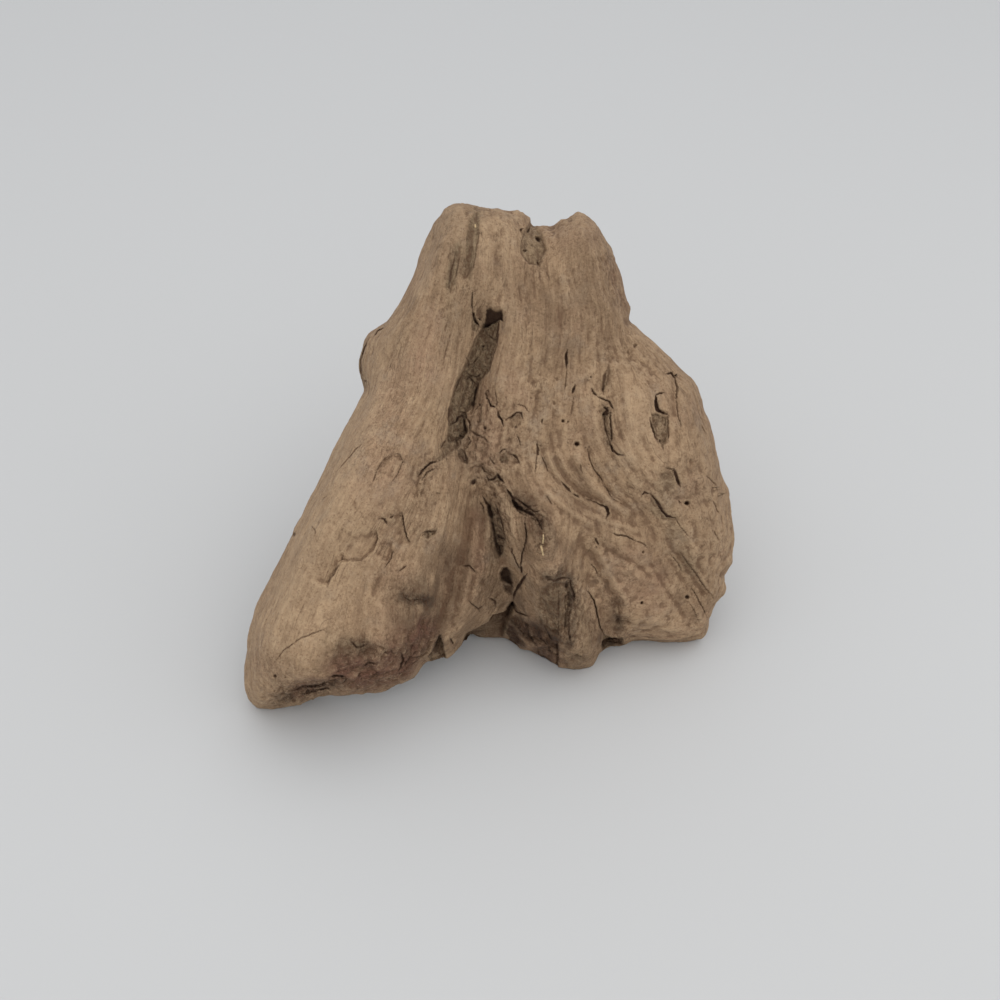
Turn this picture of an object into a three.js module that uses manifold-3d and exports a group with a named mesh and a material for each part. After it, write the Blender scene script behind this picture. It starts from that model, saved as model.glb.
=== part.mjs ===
// A weathered piece of driftwood, broken from the foot of a root crown: one long limb to the left, a broad flat fan
// to the right and a stub between them. It stands on five blunt feet over a low hollow, and its broad worn face
// leans back. X runs to the right across the face, Y away from it and Z up, in millimetres.
import * as THREE from "three";
import { mergeVertices } from "three/addons/utils/BufferGeometryUtils.js";
import Module from "manifold-3d";

const wasm = await Module();
wasm.setup();

// Driving dimensions
const FACE_LEAN = THREE.MathUtils.degToRad(48); // the face's slope, from the ground
const FACE_HEIGHT = 90; // from the ground to the middle of the face
const FACE_MIDDLE = { across: 2, up: 14 };
const SWELL = { height: 26, reach: 11 }; // how far the face stands out from its rim, and how soon
const LEAST_WALL = 20; // the thinnest wood, over the hollow
const FLARE_WALL = 44; // the limb's and the fan's thickness
const TRUNK = { across: 4, up: 12, halfWidth: 62, halfHeight: 92, depth: 120 }; // the thick middle, behind the face
const BACK_Y = 105; // where the back wall stands, behind the middle of the face
const VAULT = 28; // the hollow's height above the ground
const SOLE_SINK = 3; // how far the feet reach below the ground before they are cut flat
const BLEND = 9; // how softly the back wall turns into the underside
const DETAIL = 23; // the sphere has 20 (DETAIL + 1)^2 triangles
const FACE_SHARE = THREE.MathUtils.degToRad(102); // the part of the sphere, from its pole, that becomes the face

// The rim, where the face turns over to the back, clockwise from the left peak: across, up and out of the face, and
// the radius of the edge there.
const RIM = [
  [-24, 141, -8, 12],
  [-11, 140, -10, 12],
  [0, 138, -12, 11],
  [11, 138, -14, 9],
  [15, 132, -17, 7],
  [20, 128, -19, 7],
  [28, 132, -17, 8],
  [36, 138, -13, 9],
  [43, 136, -12, 11],
  [50, 126, -12, 12],
  [55, 115, -13, 12],
  [59, 104, -14, 12],
  [62, 93, -17, 9],
  [64, 86, -19, 8],
  [70, 80, -19, 10],
  [79, 73, -19, 12],
  [87, 63, -20, 12],
  [95, 57, -22, 11],
  [100, 46, -24, 11],
  [105, 29, -27, 12],
  [111, 7, -31, 12],
  [115, -10, -35, 11],
  [116, -25, -38, 9],
  [115, -33, -40, 7],
  [113, -37, -42, 6],
  [113, -45, -43, 8],
  [109, -54, -47, 9],
  [106, -66, -52, 9],
  [101, -72, -54, 9],
  [85, -73, -54, 9],
  [67, -72, -53, 8],
  [57, -74, -52, 7],
  [52, -76, -46, 9],
  [48, -81, -43, 12],
  [42, -85, -42, 13],
  [34, -85, -42, 13],
  [27, -81, -44, 11],
  [19, -79, -47, 8],
  [9, -75, -52, 7],
  [3, -72, -57, 6],
  [-5, -71, -57, 6],
  [-13, -69, -48, 6],
  [-18, -71, -27, 7],
  [-23, -76, -24, 8],
  [-32, -78, -22, 9],
  [-35, -84, -19, 13],
  [-43, -88, -16, 15],
  [-55, -92, -15, 16],
  [-72, -94, -16, 17],
  [-87, -96, -19, 17],
  [-100, -100, -22, 17],
  [-112, -102, -24, 18],
  [-121, -99, -24, 19],
  [-125, -92, -24, 20],
  [-123, -76, -23, 22],
  [-122, -63, -22, 23],
  [-118, -51, -20, 24],
  [-109, -34, -18, 25],
  [-96, -8, -16, 25],
  [-83, 18, -15, 24],
  [-74, 36, -15, 22],
  [-69, 46, -18, 14],
  [-68, 59, -25, 10],
  [-68, 73, -26, 10],
  [-64, 82, -24, 12],
  [-56, 85, -18, 14],
  [-49, 94, -14, 18],
  [-42, 106, -12, 18],
  [-38, 118, -11, 17],
  [-33, 129, -9, 15],
  [-29, 137, -8, 13],
];

// Swells (height above 0) and valleys (below 0) of the face, each along a path of [across, up].
const FACE_FORMS = [
  { of: "crest of the long limb", path: [[-26, 112], [-36, 80], [-54, 33], [-75, -19], [-94, -62]], width: 30, height: 12 },
  { of: "limb's swollen lower side", path: [[-80, -72], [-58, -66], [-44, -56]], width: 20, height: 8 },
  { of: "valley down to the fork", path: [[-10, 80], [-18, 33], [-10, 0], [0, -28], [4, -50]], width: 13, height: -9 },
  { of: "slot", path: [[-4, 84], [-10, 56], [-18, 28]], width: 6, height: -8 },
  { of: "limb's inner step", path: [[-12, 2], [-22, -30], [-30, -64]], width: 7, height: -7 },
  { of: "flange beside the fork", path: [[-6, -14], [-12, -44], [-18, -64]], width: 8, height: 5 },
  { of: "fork's deep cleft", path: [[-2, -14], [3, -34], [4, -58]], width: 8, height: -7 },
  { of: "stub between the limbs", path: [[16, -14], [22, -34], [30, -56], [38, -76]], width: 13, height: 12 },
  { of: "stub's worn hollow", path: [[36, -44], [37, -62]], width: 7, height: -4 },
  { of: "valley beside the stub", path: [[42, -28], [47, -50], [54, -68]], width: 8, height: -7 },
  { of: "fan's outer furrow", path: [[30, 64], [35, 32], [48, 12], [70, -10], [92, -44]], width: 7, height: -3 },
  { of: "fan's inner furrow", path: [[21, 46], [26, 22], [42, 0], [66, -12]], width: 7, height: -3.5 },
  { of: "fan's smooth swell", path: [[68, 40], [72, 24]], width: 24, height: 8 },
  { of: "fan's pocket", path: [[76, 48], [77, 30]], width: 8, height: -4 },
  { of: "fan's split", path: [[50, 48], [51, 26]], width: 6, height: -3 },
  { of: "fan's lower flat", path: [[78, -50], [90, -52]], width: 22, height: -3 },
  { of: "groove below the left peak", path: [[-15, 134], [-18, 104]], width: 7, height: -3 },
  { of: "dip below the notch", path: [[19, 122], [15, 96]], width: 10, height: -5 },
  { of: "right peak's swell", path: [[38, 122], [46, 96]], width: 12, height: 4 },
  { of: "hollow of the shoulder", path: [[60, 76], [72, 64]], width: 13, height: -4 },
];

// The same on the hidden side, each along a path of [across, up], as seen through the face.
const BACK_FORMS = [
  { of: "scoop down the back wall", path: [[4, 96], [2, 66], [8, 34]], width: 20, height: 12 },
  { of: "left spine of the back", path: [[-34, 112], [-38, 66], [-42, 28]], width: 14, height: -7 },
  { of: "right spine of the back", path: [[46, 96], [44, 56], [48, 22]], width: 14, height: -6 },
  { of: "knot on the left spine", path: [[-56, 62], [-60, 74]], width: 13, height: -12 },
  { of: "furrow behind the limb", path: [[-60, 20], [-82, -24], [-100, -62]], width: 9, height: 8 },
  { of: "furrow behind the fan", path: [[76, 50], [86, 12], [92, -24]], width: 10, height: 8 },
  { of: "split in the back wall", path: [[24, 92], [25, 62], [20, 34]], width: 7, height: 6 },
];

// The feet, where the wood comes down to the ground: x and y from the middle of the face, how far each spreads, and
// how much of the hollow's height it comes down.
const FEET = [
  { of: "tip of the long limb", x: -104, y: -40, spread: 34, drop: 1 },
  { of: "stub", x: 36, y: -20, spread: 20, drop: 1 },
  { of: "edge of the fan", x: 84, y: 2, spread: 24, drop: 1 },
  { of: "inner foot behind the fork", x: -3, y: 6, spread: 16, drop: 1 },
  { of: "left heel", x: -34, y: 76, spread: 30, drop: 1 },
  { of: "right heel", x: 48, y: 70, spread: 34, drop: 1 },
  { of: "low sill between the heels", x: 8, y: 82, spread: 34, drop: 0.6 },
  { of: "root behind the fan", x: 78, y: 42, spread: 30, drop: 0.5 },
];

// The grain fans out from a point above the peaks, and its ridges show all over.
const GRAIN = { apexAcross: 8, apexUp: 258, ridges: 15, reach: 70, height: 1.2 };
const WEATHERING = { size: 26, height: 1.6 };

const WOOD = new THREE.MeshStandardMaterial({ name: "weathered_wood", color: 0x957b61, roughness: 0.88, metalness: 0 });

const { clamp, lerp, smoothstep } = THREE.MathUtils;

// A repeatable number from 0 to 1 for each corner of a lattice.
function cornerValue(i, j, k) {
  let h = Math.imul(i, 374761393) ^ Math.imul(j, 668265263) ^ Math.imul(k, 2147483647);
  h = Math.imul(h ^ (h >>> 13), 1274126177);
  return ((h ^ (h >>> 16)) >>> 0) / 4294967295;
}

// Smooth noise from -1 to 1.
function noise(x, y, z) {
  const [i, j, k] = [Math.floor(x), Math.floor(y), Math.floor(z)];
  const [u, v, w] = [x - i, y - j, z - k].map((t) => t * t * (3 - 2 * t));
  const alongX = (b, c) => lerp(cornerValue(i, j + b, k + c), cornerValue(i + 1, j + b, k + c), u);
  const alongY = (c) => lerp(alongX(0, c), alongX(1, c), v);
  return 2 * lerp(alongY(0), alongY(1), w) - 1;
}

// The larger of two heights, or the smaller where softness is negative, rounded where they cross.
function softMax(a, b, softness) {
  return softness * Math.log(Math.exp(a / softness) + Math.exp(b / softness));
}

// Each form's path as short straight stretches.
function traced(forms) {
  return forms.map((form) => {
    const points = form.path.map(([across, up]) => new THREE.Vector2(across, up));
    return { ...form, points: new THREE.SplineCurve(points).getPoints(6 * points.length) };
  });
}

function distanceToPath(across, up, points) {
  let nearest = Infinity;
  for (let i = 1; i < points.length; i++) {
    const [a, b] = [points[i - 1], points[i]];
    const [dx, dy] = [b.x - a.x, b.y - a.y];
    const along = clamp(((across - a.x) * dx + (up - a.y) * dy) / (dx * dx + dy * dy), 0, 1);
    nearest = Math.min(nearest, Math.hypot(across - a.x - along * dx, up - a.y - along * dy));
  }
  return nearest;
}

function reliefOf(forms, across, up) {
  return forms.reduce((sum, form) => {
    const distance = distanceToPath(across, up, form.points) / form.width;
    return sum + form.height * Math.exp(-distance * distance);
  }, 0);
}

// Ridges that follow the grain, and broad weathering.
function texture(across, up, out) {
  const fromApex = [across - GRAIN.apexAcross, GRAIN.apexUp - up];
  const turn = Math.atan2(...fromApex);
  const along = Math.hypot(...fromApex);
  const ridges = noise(turn * GRAIN.ridges, along / GRAIN.reach, out / GRAIN.reach);
  const worn = noise(across / WEATHERING.size, up / WEATHERING.size, out / WEATHERING.size);
  return GRAIN.height * ridges + WEATHERING.height * worn;
}

const faceForms = traced(FACE_FORMS);
const backForms = traced(BACK_FORMS);
const rimCurve = new THREE.CatmullRomCurve3(
  RIM.map(([across, up, out]) => new THREE.Vector3(across, up, out)),
  true,
  "centripetal",
);
rimCurve.arcLengthDivisions = 2000;

// The rim's point and edge radius at a share of its length.
function rimAt(share) {
  const t = rimCurve.getUtoTmapping(share);
  const place = t * RIM.length;
  const before = Math.floor(place) % RIM.length;
  const after = (before + 1) % RIM.length;
  const edge = lerp(RIM[before][3], RIM[after][3], place - Math.floor(place));
  return { point: rimCurve.getPoint(t), edge };
}

const rimStops = Array.from({ length: 2 * RIM.length }, (_, i) => rimAt(i / (2 * RIM.length)));

// The rim's values carried smoothly across the face by mean value coordinates, and how deep inside the rim a point
// lies: the true distance, and a smooth one that levels off in the middle.
function insideRim(across, up) {
  const spokes = rimStops.map(({ point }) => new THREE.Vector2(point.x - across, point.y - up));
  const halfTan = spokes.map((a, i) => {
    const b = spokes[(i + 1) % spokes.length];
    return (a.length() * b.length() - a.dot(b)) / b.cross(a);
  });
  let [weights, rimOut, edge] = [0, 0, 0];
  rimStops.forEach((stop, i) => {
    const before = halfTan[(i + halfTan.length - 1) % halfTan.length];
    const weight = (before + halfTan[i]) / spokes[i].length();
    weights += weight;
    rimOut += weight * stop.point.z;
    edge += weight * stop.edge;
  });
  const outline = [...rimStops, rimStops[0]].map(({ point }) => point);
  const distance = distanceToPath(across, up, outline);
  return { distance, depth: 2 / weights, rimOut: rimOut / weights, edge: edge / weights };
}

// How far the face stands out, before its edge turns over.
function faceOut(across, up, inside) {
  const dome = inside.rimOut + inside.edge + SWELL.height * (1 - Math.exp(-inside.depth / SWELL.reach));
  const fade = smoothstep(inside.distance, 0, 14);
  return dome + fade * reliefOf(faceForms, across, up) + texture(across, up, dome);
}

// The ground's clearance under a point: the hollow's height, less the feet.
function clearance(x, y) {
  const feet = FEET.reduce((sum, foot) => {
    const distance = Math.hypot(x - foot.x, y - foot.y) / foot.spread;
    return Math.max(sum, foot.drop * Math.min(1, 1.25 * Math.exp(-distance * distance)));
  }, 0);
  return lerp(VAULT, -SOLE_SINK, feet) + 1.5 * noise(x / 24, y / 24, 0.5);
}

// How far out the hidden side lies (below 0), where the face is at faceAt.
function backOut(across, up, faceAt) {
  const [cos, sin] = [Math.cos(FACE_LEAN), Math.sin(FACE_LEAN)];
  const trunk = Math.hypot((across - TRUNK.across) / TRUNK.halfWidth, (up - TRUNK.up) / TRUNK.halfHeight);
  const wood = faceAt - FLARE_WALL - TRUNK.depth * Math.exp(-trunk * trunk);
  const wall = (up * cos - BACK_Y) / sin;
  const ground = -(FACE_HEIGHT + up * sin) / cos;
  const y = up * cos - ground * sin;
  const floor = ground + clearance(across, y) / cos;
  const behind = softMax(softMax(wood, wall, BLEND), floor, BLEND / 2);
  return Math.min(behind + reliefOf(backForms, across, up), faceAt - LEAST_WALL) + texture(across, up, behind);
}

// The point of the wood for a direction from the middle of a unit sphere whose pole faces out.
function woodPoint(direction) {
  const fromPole = Math.acos(clamp(direction.z, -1, 1));
  const around = Math.atan2(direction.x, direction.y) / (2 * Math.PI);
  const onFace = fromPole <= FACE_SHARE;
  const equalArea = onFace
    ? Math.sqrt((1 - Math.cos(fromPole)) / (1 - Math.cos(FACE_SHARE)))
    : Math.sqrt((1 + Math.cos(fromPole)) / (1 + Math.cos(FACE_SHARE)));
  const reach = 1 - Math.pow(1 - Math.min(1, equalArea), 1.25);
  const { point: rim } = rimAt((around + 1) % 1);
  if (reach > 0.999) return rim;
  const across = lerp(FACE_MIDDLE.across, rim.x, reach);
  const up = lerp(FACE_MIDDLE.up, rim.y, reach);
  const inside = insideRim(across, up);
  const turned = clamp(1 - inside.distance / inside.edge, 0, 1);
  const rounding = Math.sqrt(1 - turned * turned);
  const faceAt = faceOut(across, up, inside);
  const surface = onFace ? faceAt : backOut(across, up, faceAt);
  return new THREE.Vector3(across, up, lerp(inside.rimOut, surface, rounding));
}

// From the face's own frame to one that stands on the ground.
function standing(point) {
  const [cos, sin] = [Math.cos(FACE_LEAN), Math.sin(FACE_LEAN)];
  return new THREE.Vector3(
    point.x,
    point.y * cos - point.z * sin,
    FACE_HEIGHT + point.y * sin + point.z * cos,
  );
}

function bareGeometry(geometry) {
  geometry.deleteAttribute("normal");
  geometry.deleteAttribute("uv");
  return mergeVertices(geometry, 1e-5);
}

function solidFrom(geometry) {
  return new wasm.Manifold(
    new wasm.Mesh({
      numProp: 3,
      vertProperties: new Float32Array(geometry.attributes.position.array),
      triVerts: new Uint32Array(geometry.index.array),
    }),
  );
}

function geometryFrom(solid) {
  const mesh = solid.getMesh();
  return new THREE.BufferGeometry()
    .setAttribute("position", new THREE.BufferAttribute(mesh.vertProperties, 3))
    .setIndex(new THREE.BufferAttribute(mesh.triVerts, 1));
}

function woodGeometry() {
  const geometry = bareGeometry(new THREE.IcosahedronGeometry(1, DETAIL));
  const place = geometry.attributes.position;
  for (let i = 0; i < place.count; i++) {
    const direction = new THREE.Vector3().fromBufferAttribute(place, i);
    place.setXYZ(i, ...standing(woodPoint(direction)).toArray());
  }
  return geometry;
}

// Everything below the ground, which cuts the soles flat.
function groundSolid() {
  const block = new THREE.BoxGeometry(600, 600, 60);
  block.translate(0, 0, -30);
  return solidFrom(bareGeometry(block));
}

const wood = geometryFrom(solidFrom(woodGeometry()).subtract(groundSolid()));
wood.computeBoundingBox();
const middle = wood.boundingBox.getCenter(new THREE.Vector3());
wood.translate(-middle.x, -middle.y, 0);

const driftwood = new THREE.Mesh(wood, WOOD);
driftwood.name = "driftwood";

const part = new THREE.Group();
part.add(driftwood);

export default part;
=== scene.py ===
"""Driftwood: the worn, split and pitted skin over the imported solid, its weathered finish, and the stage."""

import math

import bmesh
import bpy
import numpy as np
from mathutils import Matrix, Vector


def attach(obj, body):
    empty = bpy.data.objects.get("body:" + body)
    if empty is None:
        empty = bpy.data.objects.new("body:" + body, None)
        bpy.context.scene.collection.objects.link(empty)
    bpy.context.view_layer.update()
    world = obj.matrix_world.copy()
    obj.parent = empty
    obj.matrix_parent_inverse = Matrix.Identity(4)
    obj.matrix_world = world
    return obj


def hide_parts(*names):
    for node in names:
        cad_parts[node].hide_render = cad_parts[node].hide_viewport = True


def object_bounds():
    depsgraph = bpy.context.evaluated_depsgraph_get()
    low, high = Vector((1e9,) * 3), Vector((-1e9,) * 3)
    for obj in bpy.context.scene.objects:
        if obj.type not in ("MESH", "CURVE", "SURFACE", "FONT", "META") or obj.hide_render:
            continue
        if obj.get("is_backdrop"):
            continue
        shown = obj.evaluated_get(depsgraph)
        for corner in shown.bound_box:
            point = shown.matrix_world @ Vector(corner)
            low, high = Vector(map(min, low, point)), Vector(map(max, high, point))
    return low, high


bl_info = {
    "name": "Driftwood",
    "version": (1, 0, 0),
    "blender": (4, 5, 0),
    "location": "3D View > Sidebar > Driftwood",
    "description": "Dresses a packed piece of driftwood with its grain, splits, pits and weathered colours",
    "category": "Object",
}

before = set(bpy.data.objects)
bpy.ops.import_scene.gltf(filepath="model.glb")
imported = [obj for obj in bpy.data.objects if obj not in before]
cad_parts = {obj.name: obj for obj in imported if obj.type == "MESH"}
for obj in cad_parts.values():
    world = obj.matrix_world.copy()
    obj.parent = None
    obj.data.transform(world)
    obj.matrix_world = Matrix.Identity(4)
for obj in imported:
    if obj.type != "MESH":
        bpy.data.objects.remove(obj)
CAD_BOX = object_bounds()
NODE = "driftwood"
SKIN = "weathered_driftwood"
MM = 0.001
TINY = 1e-9

# The worn face leans back, square to the camera. A place on it is across, up and out of the face.
LOOK_DOWN = math.radians(42)
FACE_MIDDLE = np.array((4.64, -15.22, 90.0))  # in millimetres, where the camera aims
CAMERA_AWAY = 587.0  # millimetres from there
LENS = 45.0
SENSOR = 36.0
PHOTO = 1000
FOCAL_PIXELS = PHOTO * LENS / SENSOR
ACROSS_FACE = np.array((1.0, 0.0, 0.0))
UP_FACE = np.array((0.0, math.sin(LOOK_DOWN), math.cos(LOOK_DOWN)))
OUT_OF_FACE = np.array((0.0, -math.cos(LOOK_DOWN), math.sin(LOOK_DOWN)))
PIXEL = CAMERA_AWAY / FOCAL_PIXELS  # millimetres per pixel at the middle of the face

# The grain. A thin plate that bends through its lines is worked out for a batch of places at a time.
GRAIN_TOP = np.array((510, 120))  # in pixels, where the length along the face's grain starts
PLATE_UNIT = 100  # pixels
PLATE_SLACK = 0.02  # lets the plate pass the lines a little to one side
BATCH = 20000
BACK_GRAIN_TOP = np.array((0.0, 20.0, 330.0))  # in millimetres, where the back's grain spreads from
BACK_GRAIN_SPREAD = 230.0  # millimetres below it, where the back's grain has its true width
GRAIN_UNIT = 10  # millimetres in one unit of the grain's attributes

# Noise: what brings it to about -1 to 1, and how far each layer lies from the last.
NOISE_GAIN = 1.6
LAYER_SHIFT = 17.3

# How far the skin is turned to the camera where each part of it begins: 1 is square to it, and 0 is a side.
FACE_BEGINS = 0.12
SIDE_BEGINS = -0.35
SEEN_BEGINS = -0.1

# Edge lengths of the skin's mesh, in millimetres. An edge LONG times as long as wanted is split.
LONG = 1.4
FIRST_EDGE = 2.6
FACE_EDGE = 1.55
SIDE_EDGE = 2.2
BACK_EDGE = 3.0
ROUGH_EDGE = 1.15
SPLIT_EDGE = 0.6
RIM_EDGE = 0.7
RUBBLE_EDGE = 0.85
SPLINTER_EDGE = 0.4
ALCOVE_EDGE = 1.0
MUCH_ROUGH = 0.4  # how rough the ground is where it needs short edges

# Heights in millimetres.
SOLE_HEIGHT = 0.2
ALCOVE_FLOOR = 3.0
CREST_HEIGHT = 0.45
SPLINTER_HEIGHT = 0.6
SPLINTER_HALF_WIDTH = 0.42

# Some of these finishes are painted shade: the inside of splits and holes, and the dark under overhangs and
# in gaps.
FINISHES = ("hollow", "painted_shade", "rust", "moss", "deep_brown_and_shade", "clay", "pale", "splinter", "crest", "crumb")
# The nearest split: how far across it and how far off, its half-width, in millimetres, and its darkness.
SPLIT_LINE = ("split_side", "split_off", "split_wide", "split_dark")
SPLIT_REACH = 2.5

FLOOR_COLOUR = (0.545, 0.545, 0.541)
FLOOR_SIZE = 3.0
SKY_COLOUR = (0.95, 0.97, 1.0)
SKY_STRENGTH = 0.88
# Lights: place and size in metres, power in watts, and colour. Each points at the origin.
LIGHTS = {
    "overhead": ((0.0, -0.1, 1.5), 2.0, 6.5, (1.0, 0.99, 0.97)),
    "front_fill": ((0.0, -1.2, 0.9), 1.5, 3.0, (1.0, 0.99, 0.97)),
    "window": ((1.0, -0.4, 1.1), 1.2, 2.2, (1.0, 0.98, 0.95)),
}

# Every path and place below is in the photograph's pixels, as the camera sees the worn face.

# Lines that the grain follows, each with its place across the grain in millimetres at the neck.
GRAIN_LINES = (
    (0, ((428, 225), (412, 280), (375, 335), (358, 400), (325, 468), (290, 540), (262, 600), (246, 660))),
    (10, ((440, 225), (425, 300), (395, 380), (360, 450), (320, 530), (285, 610), (262, 690))),
    (20, ((452, 225), (442, 300), (425, 370), (400, 430), (365, 500), (325, 580), (300, 640), (285, 690))),
    (30, ((465, 225), (460, 290), (450, 350), (437, 410), (415, 460), (385, 520), (350, 590), (326, 680))),
    (40, ((478, 225), (474, 290), (464, 350), (452, 410), (440, 455), (420, 510), (395, 570), (372, 680))),
    (48, ((490, 225), (488, 290), (485, 340), (470, 400), (455, 445), (450, 490), (440, 540), (415, 660))),
    (56, ((505, 230), (505, 300), (500, 350), (488, 400), (475, 450), (470, 500), (463, 560), (440, 645))),
    (64, ((520, 235), (520, 300), (514, 360), (505, 410), (497, 450), (493, 490), (497, 540), (492, 630))),
    (72, ((535, 250), (535, 310), (530, 370), (525, 420), (522, 460), (530, 500), (540, 540), (545, 650))),
    (80, ((550, 250), (552, 310), (550, 370), (545, 420), (548, 460), (565, 495), (575, 540), (568, 660))),
    (88, ((563, 250), (568, 310), (567, 370), (565, 420), (575, 460), (595, 495), (605, 540), (595, 655))),
    (96, ((577, 235), (585, 310), (588, 370), (590, 420), (603, 460), (625, 500), (640, 550), (635, 640))),
    (104, ((590, 235), (600, 310), (610, 370), (618, 420), (633, 460), (660, 505), (680, 555), (690, 640))),
    (112, ((603, 260), (618, 320), (635, 370), (650, 420), (670, 470), (695, 520), (712, 570), (715, 600))),
    (120, ((618, 280), (632, 335), (655, 370), (680, 410), (700, 460), (718, 510), (728, 560))),
)
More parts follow.
